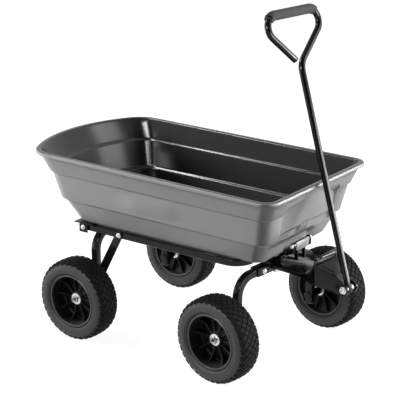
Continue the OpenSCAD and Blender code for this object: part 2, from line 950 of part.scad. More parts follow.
// Plan of the drawbar, drawn in by inset: wide deck, taper to the ears
module drawbar_plan(inset) {
    wide = deck_half - inset;
    slim = ear_out - inset * ear_t / sheet_t;
    open = inset > 0 ? overrun : 0;
    polygon([
        [-deck_back - open, -wide],
        [crest_ahead, -wide],
        [neck_end, -slim],
        [pivot_ahead + ear_r + open, -slim],
        [pivot_ahead + ear_r + open, slim],
        [neck_end, slim],
        [crest_ahead, wide],
        [-deck_back - open, wide],
    ]);
}

// Side view: flanges under the deck, the curve up to the crest and the ears about the pivot
module drawbar_side() {
    curve = arc_points([crest_ahead - crest_rise, crest_z], crest_rise - sheet_t, -90, 0, arc_steps);
    polygon(concat(
        [
            [-deck_back, deck_z],
            [lip_start, deck_z],
            [lip_start, deck_z - lip_drop],
            [crest_ahead - crest_rise, deck_z - lip_drop],
            [pivot_ahead - ear_r, pivot_z - ear_r],
            [pivot_ahead, pivot_z - ear_r],
            [pivot_ahead, pivot_z + ear_r],
            [nose_end, nose_z],
            [crest_ahead, crest_z - crest_step],
            [crest_ahead, crest_z],
        ],
        [for (i = [arc_steps : -1 : 0]) curve[i]],
        [[-deck_back, deck_top]]
    ));
    translate([pivot_ahead, pivot_z]) circle(r = ear_r);
}

// Side view of the sheet across the top: deck, curve, step behind the crest and sloping nose
module drawbar_skin() {
    centre = [crest_ahead - crest_rise, crest_z];
    translate([-deck_back, deck_z]) square([deck_back + centre[0], sheet_t]);
    polygon(concat(
        arc_points(centre, crest_rise, -90, 0, arc_steps),
        arc_points(centre, crest_rise - sheet_t, 0, -90, arc_steps)
    ));
    polygon([
        [crest_ahead - sheet_t, crest_z - crest_step - sheet_t],
        [crest_ahead - sheet_t, crest_z - crest_step],
        [crest_ahead, crest_z - crest_step],
        [nose_end, nose_z],
        [nose_end, nose_z - sheet_t],
        [crest_ahead, crest_z - crest_step - sheet_t],
    ]);
}

module drawbar() {
    high = crest_z + crest_d;
    wide = 2 * (deck_half + overrun);
    slope = atan2(deck_half - ear_out, neck_end - crest_ahead);
    slot_x = (crest_ahead + nose_end) / 2;
    color(black) steered() difference() {
        union() {
            intersection() {
                linear_extrude(high) difference() {
                    drawbar_plan(0);
                    drawbar_plan(sheet_t);
                }
                upright(wide) drawbar_side();
            }
            intersection() {
                linear_extrude(high) drawbar_plan(0);
                upright(wide) drawbar_skin();
            }
        }
        cylinder(r = kingpin_d / 2 + fit, h = high);
        for (side = [-1, 1]) translate([slot_x, side * slot_y, nose_z - sheet_t])
            rotate([0, 0, -side * slope]) translate([-slot_len / 2, -slot_w / 2, 0])
                cube([slot_len, slot_w, crest_rise]);
        translate([pivot_ahead, 0, pivot_z]) both_sides()
            cylinder(r = pivot_d / 2 + fit, h = ear_out + overrun);
        translate([crest_ahead, -deck_half - overrun, crest_z]) outward(1)
            cylinder(r = crest_d / 2 + fit, h = wide);
    }
}

module crest_bar() {
    color(black) steered() translate([crest_ahead, -deck_half, crest_z]) outward(1)
        cylinder(d = crest_d, h = 2 * deck_half);
}

module front_stub_axles() {
    color(zinc) at_front_axle() stub_axles(sleeve_end_y);
}

module front_axle_washers() {
    at_front_axle() axle_washers();
}

module front_axle_nuts() {
    at_front_axle() axle_nuts();
}

module handle_bolt() {
    color(zinc) at_pivot() outward(-1) translate([0, 0, ear_out]) mirror([0, 0, 1])
        bolt(pivot_d, pivot_head_d, pivot_head_h, 2 * ear_out + pivot_nut_h + bolt_tip);
}

module handle_nut() {
    color(zinc) at_pivot() outward(1) translate([0, 0, ear_out]) hex_nut(pivot_head_d, pivot_d, pivot_nut_h);
}

module handle_spacers() {
    from = handle_d / 2 + move_gap;
    color(zinc) at_pivot() both_sides() translate([0, 0, from])
        ring(pivot_sleeve_d, pivot_d + 2 * fit, ear_gap / 2 - from);
}

// Handle

// Puts the loop's plane at the parked lean, with the path's start below the pivot
module parked() {
    at_pivot() rotate([0, -handle_lean, 0]) facing_front() translate([0, -handle_tail, 0]) children();
}

module handle_tube() {
    steps = concat(shaft_steps, loop_steps);
    color(black) difference() {
        parked() follow(steps, handle_d, lap);
        parked() follow(steps, handle_d - 2 * handle_wall, overrun);
        at_pivot() both_sides() cylinder(r = pivot_d / 2 + fit, h = handle_d);
    }
}

module handle_grip() {
    bare = unseen(concat(shaft_steps, [[loop_r, right_angle - right_grip_angle, 0]]));
    steps = concat(bare, grip_steps);
    color("#3c3e40") difference() {
        parked() follow(steps, grip_d, lap);
        parked() follow(concat(unseen(shaft_steps), loop_steps), handle_d + 2 * grip_gap, overrun);
    }
}

// Plug in the loop's free end: a head the size of the tube, and a stem inside it
module handle_plug() {
    before = unseen(concat(shaft_steps, loop_steps));
    stem = handle_d - 2 * (handle_wall + grip_gap);
    color(black) parked() {
        follow(concat(before, [[0, lap, 0], [0, plug_t, 1]]), handle_d, 0);
        follow(concat(before, [[0, lap - plug_depth, 0], [0, plug_depth + plug_t / 2, 1]]), stem, 0);
    }
}

// Wheels, each about +Z with its outer face upwards

module tyre() {
    bead_r = bead_d / 2 + move_gap;
    half = tyre_w / 2;
    wall_h = wheel_r - shoulder_r - bead_r;
    color("#3a3a3a") rotate_extrude($fn = 96) {
        translate([bead_r, -half + bead_round]) square([wall_h, tyre_w - 2 * bead_round]);
        translate([bead_r + bead_round, -half]) square([wall_h - bead_round, tyre_w]);
        translate([bead_r, -half + shoulder_r]) square([wheel_r - bead_r, tyre_w - 2 * shoulder_r]);
        for (side = [-1, 1]) {
            translate([wheel_r - shoulder_r, side * (half - shoulder_r)]) intersection() {
                circle(r = shoulder_r);
                translate([0, -shoulder_r]) square([shoulder_r, 2 * shoulder_r]);
            }
            translate([bead_r + bead_round, side * (half - bead_round)]) intersection() {
                circle(r = bead_round);
                square(2 * bead_round, center = true);
            }
        }
    }
}

// Barrel, sloping web and hub in one turn, with ribs on both faces
module rim() {
    bead_r = bead_d / 2;
    barrel_r = bead_r - barrel_t;
    web_z = (hub_out - hub_in) / 2;
    rib_low = -rim_w / 2 + hub_out;
    color("#1c1c1d") difference() {
        union() {
            rotate_extrude($fn = 96) {
                translate([barrel_r, -rim_w / 2]) square([barrel_t, rim_w]);
                translate([0, -hub_in]) square([hub_d / 2, hub_in + hub_out]);
                translate([0, web_z - web_t / 2]) square([barrel_r + barrel_t / 2, web_t]);
            }
            for (i = [0 : rib_count - 1]) rotate([0, 0, i * 360 / rib_count])
                translate([hub_d / 4, -rib_t / 2, rib_low])
                    cube([barrel_r + barrel_t / 2 - hub_d / 4, rib_t, hub_out - web_t - rib_low]);
        }
        translate([0, 0, -hub_in - overrun])
            cylinder(r = bush_d / 2 + fit, h = hub_in + hub_out + 2 * overrun);
    }
}

// Flanged bush in each end of the hub
module bushes() {
    color(zinc) {
        translate([0, 0, hub_out]) bush();
        translate([0, 0, -hub_in]) mirror([0, 0, 1]) bush();
    }
}

module bush() {
    difference() {
        union() {
            cylinder(d = flange_d, h = flange_t);
            translate([0, 0, -bush_len]) cylinder(d = bush_d, h = bush_len);
        }
        translate([0, 0, -bush_len - overrun])
            cylinder(r = spindle_d / 2 + fit, h = bush_len + flange_t + 2 * overrun);
    }
}

module rear_wheel(side) {
    at_rear_axle() outward(side) translate([0, 0, wheel_y]) children();
}

module front_wheel(side) {
    at_front_axle() outward(side) translate([0, 0, wheel_y]) children();
}

frame_tube();
rear_cross_tube();
rear_axle_tube();
rear_leg_plugs();
left_brace();
right_brace();
brace_fasteners();
cross_fasteners();
rear_stub_axles();
rear_axle_sleeves();
rear_axle_washers();
rear_axle_nuts();
hinge_bolts();
hinge_nuts();
hinge_spacers();
rest_pads();
turntable();
kingpin();
kingpin_nut();
latch_striker();
tub();
left_hinge_bracket();
right_hinge_bracket();
bracket_bolts();
bracket_nuts();
latch_bracket();
latch_pin();
latch_pin_nut();
latch_bolts();
latch_lever();
front_axle_tube();
front_leg_plugs();
steer_saddle();
saddle_bolts();
saddle_nuts();
thrust_washer();
drawbar();
crest_bar();
front_stub_axles();
front_axle_washers();
front_axle_nuts();
handle_bolt();
handle_nut();
handle_spacers();
handle_tube();
handle_grip();
handle_plug();
rear_wheel(1) tyre();  // rear_left_tyre
rear_wheel(1) rim();  // rear_left_rim
rear_wheel(1) bushes();  // rear_left_bushes
rear_wheel(-1) tyre();  // rear_right_tyre
rear_wheel(-1) rim();  // rear_right_rim
rear_wheel(-1) bushes();  // rear_right_bushes
front_wheel(1) tyre();  // front_left_tyre
front_wheel(1) rim();  // front_left_rim
front_wheel(1) bushes();  // front_left_bushes
front_wheel(-1) tyre();  // front_right_tyre
front_wheel(-1) rim();  // front_right_rim
front_wheel(-1) bushes();  // front_right_bushes
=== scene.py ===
import math

import bmesh
import bpy
from mathutils import Matrix, Vector


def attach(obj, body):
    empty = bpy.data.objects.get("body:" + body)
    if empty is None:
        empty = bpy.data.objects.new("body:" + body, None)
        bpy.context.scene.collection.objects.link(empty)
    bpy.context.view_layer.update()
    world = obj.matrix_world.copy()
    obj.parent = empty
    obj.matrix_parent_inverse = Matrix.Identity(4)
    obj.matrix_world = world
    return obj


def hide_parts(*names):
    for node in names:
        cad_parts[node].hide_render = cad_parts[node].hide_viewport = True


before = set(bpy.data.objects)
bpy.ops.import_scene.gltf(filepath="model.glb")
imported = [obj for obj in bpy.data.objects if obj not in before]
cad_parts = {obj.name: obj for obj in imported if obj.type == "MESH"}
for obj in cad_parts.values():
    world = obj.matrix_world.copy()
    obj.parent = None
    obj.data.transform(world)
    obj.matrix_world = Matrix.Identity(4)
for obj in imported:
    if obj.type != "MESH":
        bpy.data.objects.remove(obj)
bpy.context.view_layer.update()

# Looks of a tipping dump cart: a moulded tub on a square-tube frame, a steered front axle with a
# pull handle, and four wheels. Lengths are millimetres in the part's own frame until finished().
MM = 0.001

# Places along and across the cart
REAR_X, FRONT_X = -283.026, 255.974
STEER = math.radians(-5.4)
HINGE_X, BRACE_X = -309.526, -173.026
AXLE_Z = 127.0
WHEEL_Y = 259.5
RAIL_Z, RAIL_SIDE, RAIL_Y, RAIL_BEND = 331.0, 20.0, 185.0, 50.0
RAIL_INNER, RAIL_TOP = 175.0, 341.0
AXLE_SIDE, LEG_Y, LEG_FOOT, AXLE_BEND = 22.0, 175.0, 103.0, 55.0
REAR_BAR_Z, FRONT_BAR_Z = 310.0, 278.0
PIVOT_AHEAD, PIVOT_Z, EAR_HALF = 256.0, 268.0, 24.0
LATCH_X, LATCH_Z, LATCH_HALF = 336.974, 362.3, 47.0
BRACE_WIDE, BRACE_ROOT, BRACE_IN, BRACE_OUT = 26.0, 30.0, 195.0, 199.0

# Tub sizes
TUB_Z, TUB_DEPTH, TUB_WALL = 344.3, 211.0, 4.0
BASE_HALF, BASE_FRONT, BASE_REAR = 185.0, 319.974, -382.026
SIDE_FLARE, FRONT_FLARE, REAR_FLARE = 72.0, 74.0, 134.0
FRONT_CORNER, REAR_CORNER, CORNER_GROWTH, BOW_R = 34.0, 45.0, 36.0, 446.0
LIP_OVER, LIP_H, RIM_RISE = 13.0, 11.0, 8.5
FLOOR_Z, PLATE_UNDER = TUB_Z + TUB_WALL, TUB_Z - 3.0


# Nodes, meshes and pieces

def linear(colour):
    """A colour written as #rrggbb in sRGB, as linear red, green, blue and alpha."""
    parts = [int(colour[i:i + 2], 16) / 255 for i in (1, 3, 5)]
    return [c / 12.92 if c <= 0.04045 else ((c + 0.055) / 1.055) ** 2.4 for c in parts] + [1.0]


def add(tree, kind, settings=None, values=None, links=None):
    """One node with its settings, its sockets' values and what feeds its sockets."""
    node = tree.nodes.new(kind)
    for name, value in (settings or {}).items():
        setattr(node, name, value)
    for name, value in (values or {}).items():
        node.inputs[name].default_value = value
    for name, source in (links or {}).items():
        tree.links.new(source, node.inputs[name])
    return node


def mesh_of(bm):
    """A plain mesh from a bmesh, which is then free."""
    mesh = bpy.data.meshes.new("work")
    bm.to_mesh(mesh)
    bm.free()
    return mesh


def turned(profile, steps, start=0.0, sweep=360.0):
    """Solid of revolution about Z from a closed loop of (radius, height) points."""
    bm = bmesh.new()
    count = steps if sweep == 360 else steps + 1
    rings = []
    for i in range(count):
        turn = math.radians(start + sweep * i / steps)
        rings.append([bm.verts.new((r * math.cos(turn), r * math.sin(turn), z)) for r, z in profile])
    for i in range(steps):
        here, there = rings[i], rings[(i + 1) % count]
        for k in range(len(profile)):
            bm.faces.new((here[k - 1], there[k - 1], there[k], here[k]))
    if count > steps:
        bm.faces.new(rings[0])
        bm.faces.new(rings[-1])
    bmesh.ops.remove_doubles(bm, verts=bm.verts, dist=1e-4)
    bmesh.ops.recalc_face_normals(bm, faces=bm.faces)
    return mesh_of(bm)


def bridged(bm, rings):
    """Walls between rings of points, and a face over each end."""
    for low, high in zip(rings, rings[1:]):
        for k in range(len(low)):
            bm.faces.new((low[k - 1], low[k], high[k], high[k - 1]))
    bm.faces.new(rings[0])
    bm.faces.new(rings[-1])
    bmesh.ops.recalc_face_normals(bm, faces=bm.faces)


def placed(mesh, matrix):
    """A copy of a mesh, moved by a matrix."""
    copy = mesh.copy()
    copy.transform(matrix)
    return copy


def covered(mesh, material):
    """The mesh in one material."""
    mesh.materials.clear()
    mesh.materials.append(material)
    return mesh


def gathered(*meshes):
    """One mesh from several, with every face in its own material."""
    bm = bmesh.new()
    materials = []
    for mesh in meshes:
        first = len(bm.faces)
        bm.from_mesh(mesh)
        bm.faces.ensure_lookup_table()
        for material in mesh.materials:
            if material not in materials:
                materials.append(material)
        if mesh.materials:
            for face in bm.faces[first:]:
                face.material_index = materials.index(mesh.materials[face.material_index])
    mesh = mesh_of(bm)
    for material in materials:
        mesh.materials.append(material)
    return mesh


def eased(bm, angle):
    """Smooth shading that breaks at edges sharper than the angle in degrees."""
    for face in bm.faces:
        face.smooth = True
    for edge in bm.edges:
        edge.smooth = edge.calc_face_angle(math.pi) < math.radians(angle)


def bevelled(bm, angle, offset, segments):
    """Rounds the edges that are sharper than the angle in degrees."""
    sharp = [edge for edge in bm.edges if edge.calc_face_angle(0) > math.radians(angle)]
    bmesh.ops.bevel(bm, geom=sharp, offset=offset, segments=segments, profile=0.5, affect="EDGES",
                    clamp_overlap=True)


def finished(name, mesh, body, slot, *nodes, scale=MM, angle=35.0):
    """Puts a piece in the scene at its place, on its body, in place of CAD nodes."""
    bm = bmesh.new()
    bm.from_mesh(mesh)
    bm.transform(Matrix.Scale(scale, 4))
    eased(bm, angle)
    piece_mesh = mesh_of(bm)
    piece_mesh.name = name
    for material in mesh.materials:
        piece_mesh.materials.append(material)
    piece = bpy.data.objects.new(name, piece_mesh)
    bpy.context.collection.objects.link(piece)
    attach(piece, body)
    if nodes:
        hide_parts(*nodes)
    return piece


def softened(node, body, slot, material, edge):
    """A sheet, bar or plate from its CAD solid, with its sharp edges rounded by edge."""
    bm = bmesh.new()
    bm.from_mesh(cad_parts[node].data)
    bmesh.ops.remove_doubles(bm, verts=bm.verts, dist=2e-6)
    bmesh.ops.dissolve_limit(bm, angle_limit=math.radians(0.6), verts=bm.verts, edges=bm.edges)
    bevelled(bm, 40, edge * MM, 2)
    mesh = covered(mesh_of(bm), material)
    return finished(node + "_piece", mesh, body, slot, node, scale=1.0)


def steered():
    """From the steering's own frame, on the kingpin's line, to the cart's."""
    return Matrix.Translation((FRONT_X, 0, 0)) @ Matrix.Rotation(STEER, 4, "Z")


def outward(side):
    """Turns +Z to the left for side 1 and to the right for -1."""
    return Matrix.Rotation(math.radians(-90 * side), 4, "X")


def facing_front():
    """From a drawing in the XY plane to one that faces forwards, X to the left and Y up."""
    return Matrix.Rotation(math.radians(90), 4, "Z") @ Matrix.Rotation(math.radians(90), 4, "X")


# Trees that grow what repeats or follows a path

def new_tree(name, *sockets):
    """A tree with its named inputs, and those inputs' outlets."""
    tree = bpy.data.node_groups.new(name, "GeometryNodeTree")
    tree.interface.new_socket("Geometry", in_out="INPUT", socket_type="NodeSocketGeometry")
    for label, kind in sockets:
        tree.interface.new_socket(label, in_out="INPUT", socket_type="NodeSocket" + kind)
    tree.interface.new_socket("Geometry", in_out="OUTPUT", socket_type="NodeSocketGeometry")
    return tree, add(tree, "NodeGroupInput").outputs


def closing(tree, geometry, given):
    """Ends a tree: real geometry in one material."""
    real = add(tree, "GeometryNodeRealizeInstances", links={"Geometry": geometry})
    dressed = add(tree, "GeometryNodeSetMaterial",
                  links={"Geometry": real.outputs[0], "Material": given["Material"]})
    add(tree, "NodeGroupOutput", links={0: dressed.outputs[0]})
    return tree


def tube_tree():
    """A tube of square section with round corners along a path, as thick as its girth says."""
    tree, given = new_tree("tube_along_path", ("Side", "Float"), ("Corner", "Float"),
                           ("Corner Points", "Int"), ("Material", "Material"))
    curve = add(tree, "GeometryNodeMeshToCurve", links={"Mesh": given["Geometry"]})
    level = add(tree, "GeometryNodeSetCurveNormal", {"mode": "Z_UP"}, links={"Curve": curve.outputs[0]})
    square = add(tree, "GeometryNodeCurvePrimitiveQuadrilateral",
                 links={"Width": given["Side"], "Height": given["Side"]})
    section = add(tree, "GeometryNodeFilletCurve", {"mode": "POLY"}, {"Limit Radius": True},
                  {"Curve": square.outputs[0], "Radius": given["Corner"], "Count": given["Corner Points"]})
    girth = add(tree, "GeometryNodeInputNamedAttribute", {"data_type": "FLOAT"}, {"Name": "girth"})
    tube = add(tree, "GeometryNodeCurveToMesh", None, {"Fill Caps": True},
               {"Curve": level.outputs[0], "Profile Curve": section.outputs[0], "Scale": girth.outputs[0]})
    return closing(tree, tube.outputs[0], given)


def round_tree():
    """Copies of an object about Z, beside the geometry that comes in."""
    tree, given = new_tree("copies_about_axle", ("Copy", "Object"), ("Count", "Int"),
                           ("Material", "Material"))
    shape = add(tree, "GeometryNodeObjectInfo", links={"Object": given["Copy"]})
    points = add(tree, "GeometryNodeMeshLine", values={"Offset": (0, 0, 0)}, links={"Count": given["Count"]})
    step = add(tree, "ShaderNodeMath", {"operation": "DIVIDE"}, {0: 2 * math.pi}, {1: given["Count"]})
    turn = add(tree, "ShaderNodeMath", {"operation": "MULTIPLY"},
               links={0: add(tree, "GeometryNodeInputIndex").outputs[0], 1: step.outputs[0]})
    spin = add(tree, "FunctionNodeAxisAngleToRotation", None, {"Axis": (0, 0, 1)}, {"Angle": turn.outputs[0]})
    copies = add(tree, "GeometryNodeInstanceOnPoints",
                 links={"Points": points.outputs[0], "Instance": shape.outputs["Geometry"],
                        "Rotation": spin.outputs[0]})
    both = add(tree, "GeometryNodeJoinGeometry")
    for source in (copies.outputs[0], given["Geometry"]):
        tree.links.new(source, both.inputs[0])
    return closing(tree, both.outputs[0], given)


def point_tree():
    """A fastener on each point, turned as the point says."""
    tree, given = new_tree("fastener_on_points", ("Fastener", "Object"), ("Material", "Material"))
    shape = add(tree, "GeometryNodeObjectInfo", links={"Object": given["Fastener"]})
    turn = add(tree, "GeometryNodeInputNamedAttribute", {"data_type": "FLOAT_VECTOR"}, {"Name": "turn"})
    spin = add(tree, "FunctionNodeEulerToRotation", links={"Euler": turn.outputs[0]})
    copies = add(tree, "GeometryNodeInstanceOnPoints",
                 links={"Points": given["Geometry"], "Instance": shape.outputs["Geometry"],
                        "Rotation": spin.outputs[0]})
    return closing(tree, copies.outputs[0], given)


def grown(tree, base, **inputs):
    """The plain mesh that a tree makes from a base mesh."""
    holder = bpy.data.objects.new("holder", base)
    bpy.context.collection.objects.link(holder)
    templates = []
    modifier = holder.modifiers.new("grown", "NODES")
    modifier.node_group = tree
    for item in tree.interface.items_tree:
        value = inputs.get(item.name.replace(" ", "_").lower()) if item.in_out == "INPUT" else None
        if isinstance(value, bpy.types.Mesh):
            value = bpy.data.objects.new("template", value)
            bpy.context.collection.objects.link(value)
            templates.append(value)
        if value is not None:
            modifier[item.identifier] = value
    view = bpy.context.evaluated_depsgraph_get()
    mesh = bpy.data.meshes.new_from_object(holder.evaluated_get(view), depsgraph=view)
    holder.modifiers.remove(modifier)
    for obj in [holder] + templates:
        bpy.data.objects.remove(obj)
    return mesh


def path_mesh(points, girths=None):
    """Edges through the points, with how thick the tube is at each."""
    mesh = bpy.data.meshes.new("path")
    mesh.from_pydata([(x, y, 0) for x, y in points], [(i, i + 1) for i in range(len(points) - 1)], [])
    girth = mesh.attributes.new("girth", "FLOAT", "POINT")
    girth.data.foreach_set("value", girths or [1.0] * len(points))
    return mesh


def arc(centre, radius, start, end, steps):
    """Points along an arc, its ends in degrees."""
    turns = [math.radians(start + (end - start) * i / steps) for i in range(steps + 1)]
    return [(centre[0] + radius * math.cos(turn), centre[1] + radius * math.sin(turn)) for turn in turns]


TUBE, ROUND, POINTS = tube_tree(), round_tree(), point_tree()


# Materials

def material(name, dark, light, mottle, rough, grain, depth, specular=0.5, **sockets):
    """A procedural finish. mottle is the size of its clouding and grain that of its relief, both in
    millimetres, depth is the height of that relief, and rough the range of its roughness. Moulded and
    sprayed skins have a grain of a few tenths, drawn here at about a millimetre or two so that it shows."""
    made = bpy.data.materials.new(name)
    made.use_nodes = True
    tree = made.node_tree
    tree.nodes.clear()
    place = add(tree, "ShaderNodeTexCoord").outputs["Object"]
    cloud = add(tree, "ShaderNodeTexNoise", None, {"Scale": 1 / (mottle * MM), "Detail": 4.0},
                {"Vector": place})
    colour = add(tree, "ShaderNodeMix", {"data_type": "RGBA"}, {6: linear(dark), 7: linear(light)},
                 {0: cloud.outputs["Fac"]})
    shine = add(tree, "ShaderNodeMapRange", None, {"To Min": rough[0], "To Max": rough[1]},
                {"Value": cloud.outputs["Fac"]})
    relief = add(tree, "ShaderNodeTexNoise", None, {"Scale": 1 / (grain * MM), "Detail": 2.0},
                 {"Vector": place})
    bump = add(tree, "ShaderNodeBump", None, {"Distance": depth * MM}, {"Height": relief.outputs["Fac"]})
    shader = add(tree, "ShaderNodeBsdfPrincipled", None, {"Specular IOR Level": specular, **sockets},
                 {"Base Color": colour.outputs[2], "Roughness": shine.outputs[0], "Normal": bump.outputs[0]})
    add(tree, "ShaderNodeOutputMaterial", links={"Surface": shader.outputs[0]})
    return made


# Polyethylene, moulded against a satin tool: an even mid grey with soft wide highlights
tub_grey = material("moulded_polyethylene_grey", "#858585", "#8d8d8d", 60, (0.34, 0.40), 1.4, 0.03,
                    specular=0.35, IOR=1.51)
# The same plastic inside the tub and on the lip's top, painted dark for the shade that falls there;
# smoother, so it shows narrow bright lines at its bends
tub_painted_shade = material("moulded_polyethylene_dark", "#242424", "#2a2a2a", 60, (0.15, 0.20), 1.6, 0.03,
                    specular=0.32, IOR=1.51)
# Powder coat on steel: deep black with a slight orange peel that breaks up its reflections
powder_coat = material("black_powder_coat", "#0b0b0b", "#111111", 30, (0.15, 0.22), 2.2, 0.03,
                       specular=0.22, IOR=1.5)
# Bright zinc plate: a cool metal with faint clouding from the bath
zinc_plate = material("bright_zinc_plate", "#bcbcbc", "#e1e1e1", 5, (0.22, 0.38), 1.0, 0.02, Metallic=1.0)
# Polyurethane foam tyre skin: matt dark grey on the side walls
tyre_skin = material("polyurethane_tyre_skin", "#202020", "#2b2b2b", 14, (0.52, 0.66), 1.2, 0.08, IOR=1.5)
# The tread's skin, darker than the side walls: nearly black, so its blocks show only where light rakes them
tread_skin = material("polyurethane_tread_skin", "#080808", "#0e0e0e", 14, (0.74, 0.84), 1.2, 0.06,
                      specular=0.12, IOR=1.5)
# Polypropylene rim, moulded: soft black with little sheen
rim_plastic = material("moulded_polypropylene_black", "#222222", "#2a2a2a", 20, (0.48, 0.58), 1.2, 0.03,
                       specular=0.12, IOR=1.49)
# The rim's flange: a greyer ring, a painted highlight where its edge catches the light
rim_flange_highlight = material("rubbed_polypropylene", "#343434", "#3e3e3e", 20, (0.34, 0.44), 1.2, 0.03, IOR=1.49)
# Foam grip: dull, with open pores
grip_foam = material("nitrile_foam_grip", "#2c2c2c", "#3a3a3a", 4, (0.85, 0.95), 1.3, 0.2, IOR=1.45)
# The latch's pull plate: black powder coat like the steel round it, painted a satin mid grey as a reflection
latch_painted_sheen = material("grey_powder_coat", "#747474", "#7e7e7e", 30, (0.30, 0.40), 2.2, 0.04, IOR=1.5)
# Polyethylene caps and plugs: plain black, soft sheen
cap_plastic = material("polyethylene_cap_black", "#151515", "#1e1e1e", 12, (0.45, 0.55), 1.2, 0.03, IOR=1.51)
# Rubber rest pads: dead matt
pad_rubber = material("moulded_rubber_black", "#1a1a1b", "#262627", 8, (0.8, 0.9), 1.0, 0.06, IOR=1.52)
# Nylon bearing washer: black, waxy
bearing_nylon = material("nylon_black", "#141414", "#1e1e1e", 10, (0.4, 0.5), 1.0, 0.02, IOR=1.53)
# Steel inside a drilled bore: painted near black for the shade in the bore
bore_painted_shade = material("oiled_steel_bore", "#161616", "#222324", 4, (0.45, 0.6), 0.8, 0.03, IOR=1.5)


# Tub

def between(a, b, share):
    """The value at a share of the way from a to b."""
    return a + (b - a) * share


def ramp(low, high, value):
    """0 below low, 1 above high, smooth between."""
    t = min(max((value - low) / (high - low), 0.0), 1.0)
    return t * t * (3 - 2 * t)


def pair(a, b, share):
    """The point at a share of the way from a to b."""
    return (between(a[0], b[0], share), between(a[1], b[1], share))


RECESS_RIGHT, RECESS_LEFT = (-160, -142), (58, 74)    # where the foot steps in for the latch
MIDDLE_FROM, MIDDLE_RUN = 20, 118                      # where the front wall's ledges taper
FLAT_ENDS, TAPER_ENDS = (24, 40), (138, 150)           # where they run out, and meet the plain ledges


def tier_points(y=None):
    """Outer wall from base to lip as (share of depth, share of flare). y is the place along the front
    wall, where the ledges run out into a flat middle and the foot steps in for the latch."""
    points = {"edge": (0.019, 0.0), "foot": (0.16, 0.184), "knee": (0.225, 0.2687),
              "low0": (0.295, 0.36), "high0": (0.315, 0.47), "low1": (0.685, 0.675),
              "high1": (0.705, 0.755)}
    if y is not None:
        off = abs(y)
        recess = ramp(*RECESS_RIGHT, y) * (1 - ramp(*RECESS_LEFT, y))
        points["foot"] = pair(points["foot"], (0.165, 0.015), recess)
        points["knee"] = pair(points["knee"], (0.245, 0.276), recess)
        run = min(max((off - MIDDLE_FROM) / MIDDLE_RUN, 0.0), 1.0)
        middle = {"low0": pair((0.330, 0.325), (0.370, 0.335), run),
                  "high0": pair((0.430, 0.505), (0.435, 0.508), run),
                  "low1": pair((0.835, 0.870), (0.680, 0.560), run),
                  "high1": pair((0.850, 0.897), (0.790, 0.847), run)}
        flat = {"low0": (0.330, 0.400), "high0": (0.430, 0.500)}
        for name, ledge in middle.items():
            if name in flat:
                ledge = pair(flat[name], ledge, ramp(*FLAT_ENDS, off))
            points[name] = pair(ledge, points[name], ramp(*TAPER_ENDS, off))
    return points


PANEL_ROWS = (429.0, 431.5, 469.5, 472.0)
PANEL_REAR, PANEL_FRONT, PANEL_RAISE = -111, 50, 0.7
LEDGE_LIFT, LIP_ROOT, FLOOR_EDGE = 2.0, 10.0, 14.0
ROUND_STEPS = 3


def tub_profile(y=None):
    """The wall's whole section as (height, flare share, growth, rounding), outside up, inside down."""
    tier = tier_points(y)

    def out(name, radius):
        return (TUB_Z + TUB_DEPTH * tier[name][0], tier[name][1], 0.0, radius)

    def within(name, radius):
        return (TUB_Z + TUB_DEPTH * tier[name][0] + LEDGE_LIFT, tier[name][1], -TUB_WALL, radius)

    rim, wall_top = TUB_Z + TUB_DEPTH, TUB_Z + TUB_DEPTH - LIP_H
    panel = []
    high, low = out("high0", 0), out("low1", 0)
    for z in PANEL_ROWS:
        share = (z - high[0]) / (low[0] - high[0])
        panel.append((z, between(high[1], low[1], share), 0.0, 0.0))
    return ([(TUB_Z, 0, -TUB_WALL, 0.0), out("edge", 5), out("foot", 4), out("knee", 4), out("low0", 2),
             out("high0", 3)] + panel +
            [out("low1", 2), out("high1", 3), (wall_top, 1, 0, 1.5), (wall_top, 1, LIP_OVER, 2.0),
             (rim, 1, LIP_OVER, 5.0), (rim, 1, -TUB_WALL, 4.0), (wall_top, 1, -LIP_ROOT, 6.0),
             within("high1", 3), within("low1", 2.5), within("high0", 3), within("low0", 2.5),
             within("knee", 4), within("foot", 4), (FLOOR_Z, 0, -TUB_WALL - 1, 6.0),
             (FLOOR_Z, 0, -TUB_WALL - FLOOR_EDGE, 0.0)])


LIP_TURN = 14          # place of the lip's outer top edge in the section, where the painted shade starts
MEAN_FLARE = 90.0      # of the four walls, for distances along the section


def rounded(section):
    """Section rows with each corner eased, and whether a row is inside, where shade is painted dark."""
    def gap(a, b):
        return math.hypot(b[0] - a[0], MEAN_FLARE * (b[1] - a[1]) + b[2] - a[2])

    rows = []
    for i, here in enumerate(section):
        radius = here[3]
        inside = i > LIP_TURN
        if radius == 0:
            rows.append((here[:3], inside))
            continue
        ends = []
        for other in (section[i - 1], section[i + 1]):
            share = min(radius / max(gap(here, other), 1e-6), 0.45)
            ends.append([between(here[k], other[k], share) for k in range(3)])
        for step in range(ROUND_STEPS + 1):
            t = step / ROUND_STEPS
            row = [(1 - t) ** 2 * ends[0][k] + 2 * t * (1 - t) * here[k] + t * t * ends[1][k]
                   for k in range(3)]
            rows.append((row, inside or (i == LIP_TURN and step > 1)))
    return rows


FRONT_LEFT = (8, 20, 24, 28, 32, 36, 40, 44, 52, 60, 66, 78, 98, 118, 138, 140, 142, 144, 146, 148)
FRONT_YS = tuple(-y for y in reversed(FRONT_LEFT)) + FRONT_LEFT
SIDE_XS = (264, 204, 144, 94, 52, 49, 4, -46, -78, -110, -113, -166, -226, -286)
CORNER_STEPS, BOW_STEPS = 12, 30


